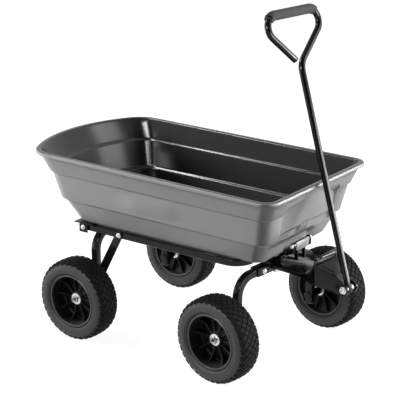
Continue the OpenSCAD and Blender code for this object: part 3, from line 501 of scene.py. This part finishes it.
def tub_columns():
    """Places round the tub, anticlockwise from the front left corner."""
    turns = [i / CORNER_STEPS for i in range(CORNER_STEPS + 1)]
    return ([("front_corner", 1, t) for t in turns] + [("side", 1, x) for x in SIDE_XS] +
            [("rear_corner", 1, t) for t in turns] +
            [("bow", 0, i / BOW_STEPS) for i in range(1, BOW_STEPS)] +
            [("rear_corner", -1, 1 - t) for t in turns] + [("side", -1, x) for x in reversed(SIDE_XS)] +
            [("front_corner", -1, 1 - t) for t in turns] + [("front", 0, y) for y in FRONT_YS])


def tub_point(column, row):
    """The point of a row of the section at a place round the tub."""
    kind, side, place = column
    z, spread, grow = row
    half = BASE_HALF + SIDE_FLARE * spread + grow
    front = BASE_FRONT + FRONT_FLARE * spread + grow
    rear = BASE_REAR - REAR_FLARE * spread - grow
    front_r, rear_r = FRONT_CORNER + grow, REAR_CORNER + CORNER_GROWTH * spread + grow
    bow_x, reach, across = rear + BOW_R, BOW_R - rear_r, half - rear_r
    corner_x = bow_x - math.sqrt(reach * reach - across * across)
    end = math.atan2(across, corner_x - bow_x)
    if kind == "front":
        x, y = front, place
    elif kind == "side":
        x, y = place, side * half
    elif kind == "front_corner":
        turn = math.radians(90 * place)
        x = front - front_r + front_r * math.cos(turn)
        y = side * (half - front_r + front_r * math.sin(turn))
    elif kind == "bow":
        turn = between(end, 2 * math.pi - end, place)
        x, y = bow_x + BOW_R * math.cos(turn), BOW_R * math.sin(turn)
    else:
        turn = between(math.pi / 2, end, place)
        x, y = corner_x + rear_r * math.cos(turn), side * (across + rear_r * math.sin(turn))
    return (x, y, z + RIM_RISE * spread * (BASE_FRONT - x) / (BASE_FRONT - BASE_REAR))


def tub_mesh():
    """The tub's skin, its section carried round it, with a slightly raised panel on each side."""
    bm = bmesh.new()
    plain = rounded(tub_profile())
    # rows on the inside and on the lip's top, painted dark for their shade
    dark = [inside for _, inside in plain]
    grid = []
    for column in tub_columns():
        kind, _, place = column
        raised = kind == "side" and PANEL_REAR < place < PANEL_FRONT
        line = []
        for (z, spread, grow), _ in rounded(tub_profile(place)) if kind == "front" else plain:
            if raised and z in PANEL_ROWS[1:3]:
                grow += PANEL_RAISE
            line.append(bm.verts.new(tub_point(column, (z, spread, grow))))
        grid.append(line)
    for i, there in enumerate(grid):
        here = grid[i - 1]
        for k in range(len(plain) - 1):
            face = bm.faces.new((here[k], there[k], there[k + 1], here[k + 1]))
            face.material_index = 1 if dark[k] and dark[k + 1] else 0
    bm.faces.new([line[0] for line in reversed(grid)])
    bm.faces.new([line[-1] for line in grid]).material_index = 1
    bmesh.ops.remove_doubles(bm, verts=bm.verts, dist=1e-3)
    bmesh.ops.recalc_face_normals(bm, faces=bm.faces)
    mesh = mesh_of(bm)
    # outside in grey, inside painted dark as shade
    for finish in (tub_grey, tub_painted_shade):
        mesh.materials.append(finish)
    return mesh


finished("tub_shell", tub_mesh(), "tub", "tub", "tub", angle=40)


# Frame and axle tubes

def tube(points, matrix, side, corner, corner_points, finish, girths=None):
    """A tube along a flat path, then put in its place."""
    mesh = grown(TUBE, path_mesh(points, girths), side=side, corner=corner, corner_points=corner_points,
                 material=finish)
    return placed(mesh, matrix)


TUBE_EASE = 3.0


def square_tube(points, matrix, side):
    """Painted square tube with rounded corners."""
    return tube(points, matrix, side, TUBE_EASE, 4, powder_coat)


def frame_path():
    """The rails and the front bend between them, in one line."""
    corner = FRONT_X - RAIL_BEND
    half = RAIL_Y - RAIL_BEND
    return ([(HINGE_X, RAIL_Y)] + arc((corner, half), RAIL_BEND, 90, 0, 14) +
            arc((corner, -half), RAIL_BEND, 0, -90, 14) + [(HINGE_X, -RAIL_Y)])


def rail_end(side):
    """Half-round end of a rail about the hinge."""
    half, ease, turns = RAIL_SIDE / 2, TUBE_EASE, (0, 0.4, 0.8, 1.2, math.pi / 2)
    flat = half - ease
    section = ([(0, -half)] + [(flat + ease * math.sin(t), -flat - ease * math.cos(t)) for t in turns] +
               [(flat + ease * math.cos(t), flat + ease * math.sin(t)) for t in turns] + [(0, half)])
    matrix = Matrix.Translation((HINGE_X, side * RAIL_Y, RAIL_Z)) @ outward(1)
    return placed(covered(turned(section, 16, 90, 180), powder_coat), matrix)


def arch_path(bar_z):
    """An axle tube's legs and the bar across their tops."""
    flat, knee = LEG_Y - AXLE_BEND, bar_z - AXLE_BEND
    return ([(LEG_Y, LEG_FOOT)] + arc((flat, knee), AXLE_BEND, 0, 90, 16) +
            arc((-flat, knee), AXLE_BEND, 90, 180, 16) + [(-LEG_Y, LEG_FOOT)])


rail_level = Matrix.Translation((0, 0, RAIL_Z))
finished("frame_rails", gathered(square_tube(frame_path(), rail_level, RAIL_SIDE), rail_end(1), rail_end(-1)),
         "frame", "frame_paint", "frame_tube")
finished("rear_cross_bar", square_tube([(REAR_X, -RAIL_INNER), (REAR_X, RAIL_INNER)], rail_level, RAIL_SIDE),
         "frame", "frame_paint", "rear_cross_tube")
over_rear = Matrix.Translation((REAR_X, 0, 0))
finished("rear_axle_arch", square_tube(arch_path(REAR_BAR_Z), over_rear @ facing_front(), AXLE_SIDE),
         "frame", "frame_paint", "rear_axle_tube")
finished("front_axle_arch", square_tube(arch_path(FRONT_BAR_Z), steered() @ facing_front(), AXLE_SIDE),
         "steer", "frame_paint", "front_axle_tube")


STRIP_Y, STRIP_WIDE, STRIP_LOW, STRIP_TOP = 180.5, 8.0, 341.05, 344.0
STRIP_ENDS = ((-265.0, 138.0), (183.0, 232.0))


def pad_shade_strip(side, rear, front):
    """Rubber strip on a rail's top, under the tub's base, putting black where the gap is in shade."""
    bm = bmesh.new()
    bmesh.ops.create_cube(bm, size=1.0)
    bm.transform(Matrix.Translation(((rear + front) / 2, side * STRIP_Y, (STRIP_LOW + STRIP_TOP) / 2)) @
                 Matrix.Diagonal((front - rear, STRIP_WIDE, STRIP_TOP - STRIP_LOW, 1)))
    return covered(mesh_of(bm), pad_rubber)


# The rest pads run on as black strips, which stand in for the shade in the gap under the tub
finished("rail_rest_strips", gathered(*[pad_shade_strip(side, *ends) for side in (1, -1) for ends in STRIP_ENDS]),
         "frame", "pad")


# Handle: one bent tube with a foam grip round its top

SHAFT_LEN, HANDLE_TAIL, HANDLE_D, GRIP_D = 617.0, 14.0, 19.0, 28.0
NECK_R, LOOP_R = 45.0, 34.0
LEAN = math.radians(16.7)


def walked(steps):
    """Points along runs and bends from the origin, first along +Y. Each step is (bend radius or 0 for
    a run, degrees or length)."""
    points, place, heading = [(0.0, 0.0)], Vector((0, 0)), math.pi / 2
    for radius, amount in steps:
        if radius == 0:
            count = max(2, int(amount // 40))
            ahead = Vector((math.cos(heading), math.sin(heading)))
            points += [tuple(place + ahead * amount * (i + 1) / count) for i in range(count)]
            place = place + ahead * amount
            continue
        way = 1 if amount > 0 else -1
        centre = place + way * radius * Vector((-math.sin(heading), math.cos(heading)))
        first = heading - way * math.pi / 2
        count = max(6, int(abs(amount) // 6))
        for i in range(1, count + 1):
            turn = first + math.radians(amount) * i / count
            points.append(tuple(centre + radius * Vector((math.cos(turn), math.sin(turn)))))
        heading += math.radians(amount)
        place = Vector(points[-1])
    return points


def blunt(points, ease, thin):
    """The path with extra points near its ends, and girths that round the ends off."""
    girths = [1.0] * len(points)
    for end in (0, -1):
        tip = Vector(points[end])
        ahead = (Vector(points[1 if end == 0 else -2]) - tip).normalized()
        extra = [(tuple(tip + ahead * ease * t), between(thin, 1.0, math.sqrt(1 - (1 - t) ** 2)))
                 for t in (0.0, 0.12, 0.35, 0.65, 1.0)]
        if end == 0:
            points = [p for p, _ in extra] + points[1:]
            girths = [g for _, g in extra] + girths[1:]
        else:
            points = points[:-1] + [p for p, _ in reversed(extra)]
            girths = girths[:-1] + [g for _, g in reversed(extra)]
    return points, girths


pivot = steered() @ Matrix.Translation((PIVOT_AHEAD, 0, PIVOT_Z))
parked = (pivot @ Matrix.Rotation(-LEAN, 4, "Y") @ facing_front() @
          Matrix.Translation((0, -HANDLE_TAIL, 0)))    # from the handle's drawing to its parked lean
GRIP_LEN, GRIP_WRAP, GRIP_TAIL, LOOP_TURN = 156, 40, 48, 142
SHAFT = [(0, HANDLE_TAIL + SHAFT_LEN), (NECK_R, -52), (0, 111)]
LOOP = [(LOOP_R, LOOP_TURN), (0, GRIP_LEN), (LOOP_R, 137), (0, 100)]
TO_GRIP = SHAFT + [(LOOP_R, LOOP_TURN - GRIP_WRAP)]
ALONG_GRIP = [(LOOP_R, GRIP_WRAP), (0, GRIP_LEN), (LOOP_R, GRIP_TAIL)]
shaft_points, shaft_girths = blunt(walked(SHAFT + LOOP), ease=3.0, thin=0.6)
finished("handle_bar", tube(shaft_points, parked, HANDLE_D, HANDLE_D / 2, 8, powder_coat, shaft_girths),
         "handle", "frame_paint", "handle_tube")
grip_start = len(walked(TO_GRIP)) - 1
grip_points, grip_girths = blunt(walked(TO_GRIP + ALONG_GRIP)[grip_start:], ease=6.0, thin=0.74)
finished("handle_foam_grip", tube(grip_points, parked, GRIP_D, GRIP_D / 2, 9, grip_foam, grip_girths),
         "handle", "grip", "handle_grip")


# Fasteners

def chamfered_hex(across, low, high, ease):
    """Six-sided block with its top corners turned off."""
    bm = bmesh.new()
    bridged(bm, [[bm.verts.new((x, y, z)) for x, y in arc((0, 0), radius, 0, 300, 5)]
                 for radius, z in ((across, low), (across, high - ease), (across - 1.7 * ease, high))])
    return mesh_of(bm)


def flange_bolt(size, head, head_h, shank):
    """Bolt with its seat at z = 0, head above and shank below."""
    r, rim = size / 2, head / 2
    body = turned([(0, -shank), (r - 1, -shank), (r, -shank + 1), (r, 0), (rim, 0), (rim, 0.9),
                   (rim - 0.5, 1.5), (rim * 0.72, 2.2), (0, 2.2)], 24)
    return gathered(body, chamfered_hex(rim * 0.72, 1.4, head_h, 0.7))


def dome_bolt(size, head, head_h, shank, sunk):
    """Low round head, let in by sunk."""
    r, rim = size / 2, head / 2
    return turned([(0, -shank), (r - 1, -shank), (r, -shank + 1), (r, -sunk), (rim, -sunk), (rim, 0),
                   (rim * 0.92, head_h * 0.45), (rim * 0.7, head_h * 0.8), (rim * 0.4, head_h),
                   (0, head_h)], 24)


def flange_nut(size, height, tip):
    """Nut with its seat at z = 0 and the bolt's tip beyond it."""
    collar = turned([(0, 0), (size / 2, 0), (size / 2, 1.2), (size / 2 - 0.6, 1.8), (0, 1.8)], 24)
    end = turned([(0, height - 1), (tip / 2, height - 1), (tip / 2, height + 1.2), (tip / 2 - 0.8, height + 2),
                  (0, height + 2)], 20)
    return gathered(collar, chamfered_hex(size * 0.44, 1, height, 0.7), end)


def on_points(template, places):
    """Copies of a fastener at ((x, y, z), (turn in degrees about X, Y, Z))."""
    points = bpy.data.meshes.new("points")
    points.from_pydata([place for place, _ in places], [], [])
    turns = points.attributes.new("turn", "FLOAT_VECTOR", "POINT")
    turns.data.foreach_set("vector", [math.radians(a) for _, turn in places for a in turn])
    return grown(POINTS, points, fastener=template, material=zinc_plate)


def both(x, y, z, inwards=False):
    """Places on both sides with the head outwards, or inwards."""
    way = -1 if inwards else 1
    return [((x, side * y, z), (-90 * side * way, 0, 0)) for side in (1, -1)]


def upright(places, z, turn=0):
    """Places at one height, with the head up, or down for a turn of 180."""
    return [((x, y, z), (turn, 0, 0)) for x, y in places]


HINGE_FACE, HEAD, HEAD_H = 201.6, 16, 5.5
CROSS_PLACES = [(REAR_X, side * 80) for side in (-1, 1)]
BRACKET_PLACES = [(HINGE_X - 22 + 20 * i, side * 155) for side in (-1, 1) for i in (0, 1)]
LATCH_PLACES = [(FRONT_X + 32, side * 14) for side in (-1, 1)]
SADDLE_PLACES, SADDLE_HALF = [(0, side * 71, FRONT_BAR_Z) for side in (-1, 1)], 14
M8 = flange_bolt(8, HEAD, HEAD_H, 32.5)
M8_NUT = flange_nut(15, 6.5, 8)
floor_bolt = dome_bolt(8, HEAD, 1.2, 12, 1.5)
saddle_bolts = on_points(flange_bolt(8, HEAD, HEAD_H, 2 * SADDLE_HALF),
                         [((x + SADDLE_HALF, y, z), (0, 90, 0)) for x, y, z in SADDLE_PLACES])
saddle_nuts = on_points(M8_NUT, [((x - SADDLE_HALF, y, z), (0, -90, 0)) for x, y, z in SADDLE_PLACES])
handle_bolt = on_points(flange_bolt(12, 22, 8, 2 * EAR_HALF), [((0, -EAR_HALF, 0), (90, 0, 0))])
handle_nut = on_points(flange_nut(22, 9, 12), [((0, EAR_HALF, 0), (-90, 0, 0))])

for name, body, node, mesh in (
        ("brace_bolts", "frame", "brace_fasteners",
         gathered(on_points(M8, both(BRACE_X, BRACE_OUT, RAIL_Z)),
                  on_points(M8_NUT, both(BRACE_X, RAIL_INNER, RAIL_Z, True)))),
        ("hinge_pivot_bolts", "frame", "hinge_bolts",
         on_points(flange_bolt(10, HEAD, HEAD_H, 33), both(HINGE_X, HINGE_FACE, RAIL_Z))),
        ("hinge_pivot_nuts", "frame", "hinge_nuts",
         on_points(flange_nut(17, 6.5, 10), both(HINGE_X, RAIL_INNER, RAIL_Z, True))),
        ("cross_bolts", "frame", "cross_fasteners",
         gathered(on_points(dome_bolt(8, HEAD, 2.2, 42, 0), upright(CROSS_PLACES, RAIL_TOP)),
                  on_points(M8_NUT, upright(CROSS_PLACES, REAR_BAR_Z - AXLE_SIDE / 2, 180)))),
        ("bracket_floor_bolts", "tub", "bracket_bolts",
         on_points(floor_bolt, upright(BRACKET_PLACES, FLOOR_Z))),
        ("bracket_floor_nuts", "tub", "bracket_nuts",
         on_points(M8_NUT, upright(BRACKET_PLACES, PLATE_UNDER, 180))),
        ("latch_floor_bolts", "tub", "latch_bolts",
         gathered(on_points(floor_bolt, upright(LATCH_PLACES, FLOOR_Z)),
                  on_points(M8_NUT, upright(LATCH_PLACES, PLATE_UNDER, 180)))),
        ("latch_pivot_pin", "tub", "latch_pin",
         on_points(flange_bolt(8, HEAD, HEAD_H, 2 * LATCH_HALF),
                   [((LATCH_X, -LATCH_HALF, LATCH_Z), (90, 0, 0))])),
        ("latch_pivot_nut", "tub", "latch_pin_nut",
         on_points(M8_NUT, [((LATCH_X, LATCH_HALF, LATCH_Z), (-90, 0, 0))])),
        ("saddle_clamp_bolts", "steer", "saddle_bolts", placed(saddle_bolts, steered())),
        ("saddle_clamp_nuts", "steer", "saddle_nuts", placed(saddle_nuts, steered())),
        ("handle_pivot_bolt", "steer", "handle_bolt", placed(handle_bolt, pivot)),
        ("handle_pivot_nut", "steer", "handle_nut", placed(handle_nut, pivot))):
    finished(name, mesh, body, "zinc", node)


# Wheels, each about +Z with its outer face upwards

# Tyre from its bead to the middle of its crown, as (radius, height)
TYRE_SIDE = [(83.3, 33), (84.4, 37), (87, 40.2), (90, 41.8), (91, 42.9), (92.6, 43.0), (93.4, 42.5),
             (98, 43.3), (103, 42.9), (107.6, 41.7), (111.6, 39.9), (115.2, 37.5), (118.2, 34.6),
             (120.6, 31.2), (122.3, 27.2), (123.4, 22.4), (124.2, 13.4), (124.5, 0)]
TREAD_PITCHES, TREAD_ROW, TREAD_RISE, SHOULDER_RISE = 36, 11.4, 2.4, 3.4
SHOULDER = 3           # rows from the middle of the tread to its shoulder
TREAD_FROM = 116.0     # radius where the tread's skin starts


def tread_place(across):
    """Radius, height and outward slope of the carcass at a distance along its crown from the middle."""
    crown, left = TYRE_SIDE[::-1], abs(across)
    for (r0, z0), (r1, z1) in zip(crown, crown[1:]):
        run = math.hypot(r1 - r0, z1 - z0)
        if left <= run:
            break
        left -= run
    share = left / run
    slope = math.atan2(r0 - r1, z1 - z0)
    sign = 1 if across >= 0 else -1
    return between(r0, r1, share), sign * between(z0, z1, share), sign * slope


def tread_pitch():
    """One pitch of diamond blocks across the crown, in seven staggered rows."""
    bm = bmesh.new()
    pitch = 2 * math.pi / TREAD_PITCHES
    for row in range(-SHOULDER, SHOULDER + 1):
        middle = row * TREAD_ROW
        offset = pitch / 2 if row % 2 else 0.0
        rise = TREAD_RISE if abs(row) < SHOULDER else SHOULDER_RISE
        rings = []
        for size, height in ((0.94, -0.6), (0.86, rise * 0.7), (0.74, rise)):
            ring = []
            for step_across, step_round in ((-1, 0), (0, 1), (1, 0), (0, -1)):
                radius, z, slope = tread_place(middle + step_across * TREAD_ROW * size)
                turn = offset + step_round * pitch / 2 * size
                radius += height * math.cos(slope)
                z += height * math.sin(slope)
                ring.append(bm.verts.new((radius * math.cos(turn), radius * math.sin(turn), z)))
            rings.append(ring)
        bridged(bm, rings)
    return mesh_of(bm)


def tyre_mesh():
    """Solid tyre with its tread blocks, the tread in its darker skin."""
    far = [(r, -z) for r, z in reversed(TYRE_SIDE[:-1])]
    carcass = turned(TYRE_SIDE + far, 96)
    mesh = grown(ROUND, carcass, copy=tread_pitch(), count=TREAD_PITCHES, material=tyre_skin)
    covered(mesh, tyre_skin).materials.append(tread_skin)
    for face in mesh.polygons:
        face.material_index = 1 if face.center.xy.length > TREAD_FROM else 0
    return mesh


# Rim's and ribs' sections, as (radius, height)
RIM_SECTION = [(76, 36), (77.5, 38.3), (80.5, 38.6), (82.6, 37.2), (83, 35), (83, -35), (82.6, -37.2),
               (80.5, -38.6), (77.5, -38.3), (76, -36), (74.5, -20), (73, -19), (30, -9), (22, -12),
               (22, -37), (13.2, -37), (13.2, 9), (20.5, 9), (22, 7.5), (22, 2), (26, -1), (70, -13),
               (74.5, -10)]
FLANGE_FROM, DISH_R = 36.5, 70.0
RIB_HALF, RIB_EASE, RIB_COUNT = 2.0, 0.7, 10
RIB_FRONT = [(21, 6), (30, 5), (56, 3), (68, 6), (76, 14), (76, -12), (70, -14), (26, -2.5)]
RIB_BACK = [(21, -30), (75, -25), (75, -17), (30, -8), (21, -11)]


def rib_mesh():
    """A rib on each face of the rim, its edges eased."""
    bm = bmesh.new()
    for section in (RIB_FRONT, RIB_BACK):
        bridged(bm, [[bm.verts.new((r, side * RIB_HALF, z)) for r, z in section] for side in (-1, 1)])
    bevelled(bm, 50, RIB_EASE, 1)
    return mesh_of(bm)


def rim_mesh():
    """Dished rim with its ribs, the flange at each side painted grey as a highlight."""
    mesh = grown(ROUND, turned(RIM_SECTION, 96), copy=rib_mesh(), count=RIB_COUNT, material=rim_plastic)
    covered(mesh, rim_plastic).materials.append(rim_flange_highlight)
    # the flange's faces painted grey as a highlight
    for face in mesh.polygons:
        face.material_index = 1 if abs(face.center.z) > FLANGE_FROM and face.center.xy.length > DISH_R else 0
    return mesh


def axle_place(end):
    """The middle of an axle's line."""
    return (over_rear if end == "rear" else steered()) @ Matrix.Translation((0, 0, AXLE_Z))


# Dished washer on the hub's face, and the round push-on nut over the stub's end, as (radius, distance
# from the cart's middle)
HUB_WASHER = [(8.1, 271.3), (18, 271.3), (18, 272.2), (17.3, 273.2), (13, 273.8), (8.1, 273.8)]
HUB_NUT = [(8.1, 273.8), (11, 273.8), (11, 279.5), (10.4, 281.6), (9.4, 282.6), (8.4, 282.4), (8.1, 281)]


def stub_axle(shoulder_end):
    """Headed stub with a shoulder, painted as far as that goes, its end drilled."""
    root = covered(turned([(0, 159), (11.4, 159), (12, 159.6), (12, 164), (8, 164), (8, 186), (12, 186),
                           (12, shoulder_end), (0, shoulder_end)], 40), powder_coat)
    bar = covered(turned([(0, shoulder_end), (8, shoulder_end), (8, 278), (7.4, 278.8), (5.6, 278.8),
                          (5.6, 277.6), (0, 277.6)], 40), zinc_plate)
    # the drilled end, painted near black for the shade inside it
    bore = covered(turned([(0, 277.3), (6.4, 277.3), (6.4, 278.9), (5.0, 278.9), (5.0, 277.9),
                           (0, 277.9)], 32), bore_painted_shade)
    return gathered(root, bar, bore)


tyre_shape, rim_shape = tyre_mesh(), rim_mesh()
for end, body, shoulder in (("rear", "frame", 195.0), ("front", "steer", 219.7)):
    axle = axle_place(end)
    for piece, node, shape in (("hub_washers", "axle_washers", covered(turned(HUB_WASHER, 48), zinc_plate)),
                               ("hub_nuts", "axle_nuts", covered(turned(HUB_NUT, 40), zinc_plate)),
                               ("stub_pair", "stub_axles", stub_axle(shoulder))):
        finished(f"{end}_{piece}", gathered(*[placed(shape, axle @ outward(side)) for side in (1, -1)]),
                 body, "zinc", f"{end}_{node}")
    for label, side in (("left", 1), ("right", -1)):
        wheel = f"{end}_{label}"
        place = axle @ outward(side) @ Matrix.Translation((0, 0, WHEEL_Y))
        finished(f"{wheel}_treaded_tyre", placed(tyre_shape, place), f"{wheel}_wheel", "tyre", f"{wheel}_tyre")
        finished(f"{wheel}_ribbed_rim", placed(rim_shape, place), f"{wheel}_wheel", "rim", f"{wheel}_rim")
        softened(f"{wheel}_bushes", f"{wheel}_wheel", "zinc", zinc_plate, 0.5)


# Brace straps from the rear axle's ends up to the rails

def brace_mesh(side):
    """Strap with a round eye at each end, lying in the rail's face."""
    rise = RAIL_Z - AXLE_Z
    length, slope = math.hypot(BRACE_X - REAR_X, rise), math.atan2(rise, BRACE_X - REAR_X)
    tip, root, ease = BRACE_WIDE / 2, BRACE_ROOT / 2, 0.8
    turn = math.degrees(math.asin((root - tip) / length))
    outline = arc((0, 0), root, 90 - turn, 270 + turn, 24) + arc((length, 0), tip, -90 + turn, 90 - turn, 20)
    rings = []
    bm = bmesh.new()
    for shrink, y in ((ease, BRACE_IN), (0, BRACE_IN + ease), (0, BRACE_OUT - ease), (ease, BRACE_OUT)):
        ring = []
        for x, z in outline:
            middle = Vector((min(max(x, 0), length), 0))
            near = Vector((x, z)) - middle
            near = middle + near * (1 - shrink / max(near.length, ease))
            ring.append(bm.verts.new((REAR_X + near.x * math.cos(slope) - near.y * math.sin(slope), side * y,
                                      AXLE_Z + near.x * math.sin(slope) + near.y * math.cos(slope))))
        rings.append(ring)
    bridged(bm, rings)
    return covered(mesh_of(bm), powder_coat)


for label, side in (("left", 1), ("right", -1)):
    finished(f"{label}_brace_strap", brace_mesh(side), "frame", "frame_paint", f"{label}_brace")


# Sheet, plate and small turned parts, from their CAD solids. The latch's pull plate, in front of its
# arms, is painted grey: a painted reflection on a lever that is black powder coat

PULL_FROM = 6.4        # ahead of the latch's pin
for body, slot, finish, edge, nodes in (
        ("frame", "frame_paint", powder_coat, 0.9, ("turntable", "latch_striker")),
        ("frame", "black_plastic", cap_plastic, 1.2, ("rear_leg_plugs", "hinge_spacers")),
        ("frame", "zinc", zinc_plate, 0.6, ("rear_axle_sleeves", "kingpin", "kingpin_nut")),
        ("frame", "pad", pad_rubber, 1.0, ("rest_pads",)),
        ("tub", "frame_paint", powder_coat, 0.9,
         ("left_hinge_bracket", "right_hinge_bracket", "latch_bracket")),
        ("latch", "frame_paint", powder_coat, 0.9, ("latch_lever",)),
        ("steer", "frame_paint", powder_coat, 0.9, ("steer_saddle", "drawbar", "crest_bar")),
        ("steer", "black_plastic", cap_plastic, 1.2, ("front_leg_plugs",)),
        ("steer", "nylon", bearing_nylon, 0.6, ("thrust_washer",)),
        ("steer", "zinc", zinc_plate, 0.8, ("handle_spacers",)),
        ("handle", "black_plastic", cap_plastic, 1.2, ("handle_plug",))):
    for node in nodes:
        piece = softened(node, body, slot, finish, edge)
        # the pull plate ahead of the pin is painted grey as a reflection
        if node == "latch_lever":
            piece.data.materials.append(latch_painted_sheen)
            for face in piece.data.polygons:
                face.material_index = 1 if face.center.x > (LATCH_X + PULL_FROM) * MM else 0


# Camera, light and floor

AZIMUTH, ELEVATION = math.radians(35.922), math.radians(17.994)
DISTANCE, VIEW_ANGLE = 3.79609, math.radians(18)
TARGET = Vector((-0.01762, 0, 0.420327))
LEVEL = math.cos(ELEVATION)
BACK = Vector((math.sin(AZIMUTH) * LEVEL, -math.cos(AZIMUTH) * LEVEL, math.sin(ELEVATION)))

camera = bpy.data.objects.new("camera", bpy.data.cameras.new("camera"))
camera.data.sensor_fit = "HORIZONTAL"
camera.data.angle = VIEW_ANGLE
camera.location = TARGET + BACK * DISTANCE
camera.rotation_euler = (-BACK).to_track_quat("-Z", "Y").to_euler()
bpy.context.collection.objects.link(camera)
bpy.context.scene.camera = camera


def softbox(name, place, aim, size, power, gloss):
    """A soft box that either lights evenly or, for gloss, only shows in what is shiny."""
    lamp = bpy.data.lights.new(name, "AREA")
    lamp.shape = "RECTANGLE"
    lamp.size, lamp.size_y = size
    lamp.energy = power
    holder = bpy.data.objects.new(name, lamp)
    holder.location = place
    holder.rotation_euler = (Vector(aim) - Vector(place)).to_track_quat("-Z", "Y").to_euler()
    holder.visible_diffuse, holder.visible_glossy = not gloss, gloss
    bpy.context.collection.objects.link(holder)


# A wide box at each side of the camera's line lights the cart. The others are for the gloss: low at
# each side, along the tub's rim and ledges, in its rear corner and down the handle. Metres and watts
softbox("left_box", (-5.2, -2.95, 2.2), (0, 0, 0.45), (3.0, 1.5), 740, False)
softbox("right_box", (2.13, 1.66, 2.10), (0, 0, 0.45), (1.4, 0.8), 152, False)
softbox("left_sheen", (-2.26, -1.48, 0.40), (0, 0, 0.45), (1.4, 0.7), 12, True)
softbox("right_sheen", (2.13, 1.66, 0.45), (0, 0, 0.45), (1.4, 0.8), 90, True)
softbox("corner_sheen", (-0.06, -2.09, 1.61), (-0.45, 0.2, 0.52), (1.2, 0.3), 46, True)
softbox("bow_sheen", (1.95, 1.2, 1.85), (-0.5, 0, 0.5), (1.0, 1.0), 15, True)
softbox("rim_sheen", (-1.4, -0.5, 2.4), (0, 0, 0.55), (1.6, 0.2), 36, True)
softbox("handle_sheen", (2.65, 0.51, 0.75), (0.4, 0, 0.6), (2.6, 0.9), 120, True)

FILL = 0.12                          # the room's strength as fill
ROOM_TURN, ROOM_DARK = (-0.1, 0.75), 0.12    # where the room turns dark, and how dark


def seen_directly(tree):
    """1 for what the camera, a mirror or a clear thing sees, 0 for light that only fills."""
    ray = add(tree, "ShaderNodeLightPath").outputs
    first = add(tree, "ShaderNodeMath", {"operation": "MAXIMUM"},
                links={0: ray["Is Camera Ray"], 1: ray["Is Glossy Ray"]})
    return add(tree, "ShaderNodeMath", {"operation": "MAXIMUM"},
               links={0: first.outputs[0], 1: ray["Is Transmission Ray"]}).outputs[0]


def studio_strength(tree):
    """White for the camera. Other rays see a room that is dark on one side, dimmer for fill."""
    ray = add(tree, "ShaderNodeLightPath").outputs
    looking = add(tree, "ShaderNodeVectorMath", {"operation": "DOT_PRODUCT"}, {1: tuple(BACK)},
                  {0: add(tree, "ShaderNodeTexCoord").outputs["Generated"]}).outputs["Value"]
    room = add(tree, "ShaderNodeMapRange", {"interpolation_type": "SMOOTHSTEP"},
               {"From Min": ROOM_TURN[0], "From Max": ROOM_TURN[1], "To Min": 1.0, "To Max": ROOM_DARK},
               {"Value": looking})
    fill = add(tree, "ShaderNodeMapRange", None, {"To Min": FILL, "To Max": 1.0},
               {"Value": ray["Is Glossy Ray"]})
    dim = add(tree, "ShaderNodeMath", {"operation": "MULTIPLY"},
              links={0: room.outputs[0], 1: fill.outputs[0]})
    clear = add(tree, "ShaderNodeMath", {"operation": "MAXIMUM"},
                links={0: ray["Is Camera Ray"], 1: ray["Is Transmission Ray"]})
    return add(tree, "ShaderNodeMath", {"operation": "MAXIMUM"},
               links={0: dim.outputs[0], 1: clear.outputs[0]}).outputs[0]


world = bpy.data.worlds.new("studio")
bpy.context.scene.world = world
world.use_nodes = True
air = world.node_tree
air.nodes.clear()
sky = add(air, "ShaderNodeBackground", None, {"Color": linear("#ffffff")}, {"Strength": studio_strength(air)})
add(air, "ShaderNodeOutputWorld", links={"Surface": sky.outputs[0]})

# Paper sweep: white, with the cart's soft shadow kept
paper = bpy.data.materials.new("white_paper_sweep")
paper.use_nodes = True
tree = paper.node_tree
tree.nodes.clear()
matt = add(tree, "ShaderNodeBsdfDiffuse", None, {"Color": linear("#808080")})
faint = add(tree, "ShaderNodeBsdfDiffuse", None, {"Color": linear("#8a8a8a")})
glow = add(tree, "ShaderNodeEmission", None, {"Color": linear("#ffffff"), "Strength": 0.95})
lit = add(tree, "ShaderNodeAddShader", links={0: faint.outputs[0], 1: glow.outputs[0]})
sheet = add(tree, "ShaderNodeMixShader",
            links={0: seen_directly(tree), 1: matt.outputs[0], 2: lit.outputs[0]})
add(tree, "ShaderNodeOutputMaterial", links={"Surface": sheet.outputs[0]})
FLOOR_HALF = 30
floor_mesh = bpy.data.meshes.new("floor")
floor_mesh.from_pydata([(x * FLOOR_HALF, y * FLOOR_HALF, 0) for x, y in ((-1, -1), (1, -1), (1, 1), (-1, 1))],
                       [], [(0, 1, 2, 3)])
floor_mesh.materials.append(paper)
floor = bpy.data.objects.new("floor", floor_mesh)
bpy.context.collection.objects.link(floor)

bpy.context.scene.view_settings.view_transform = "Standard"
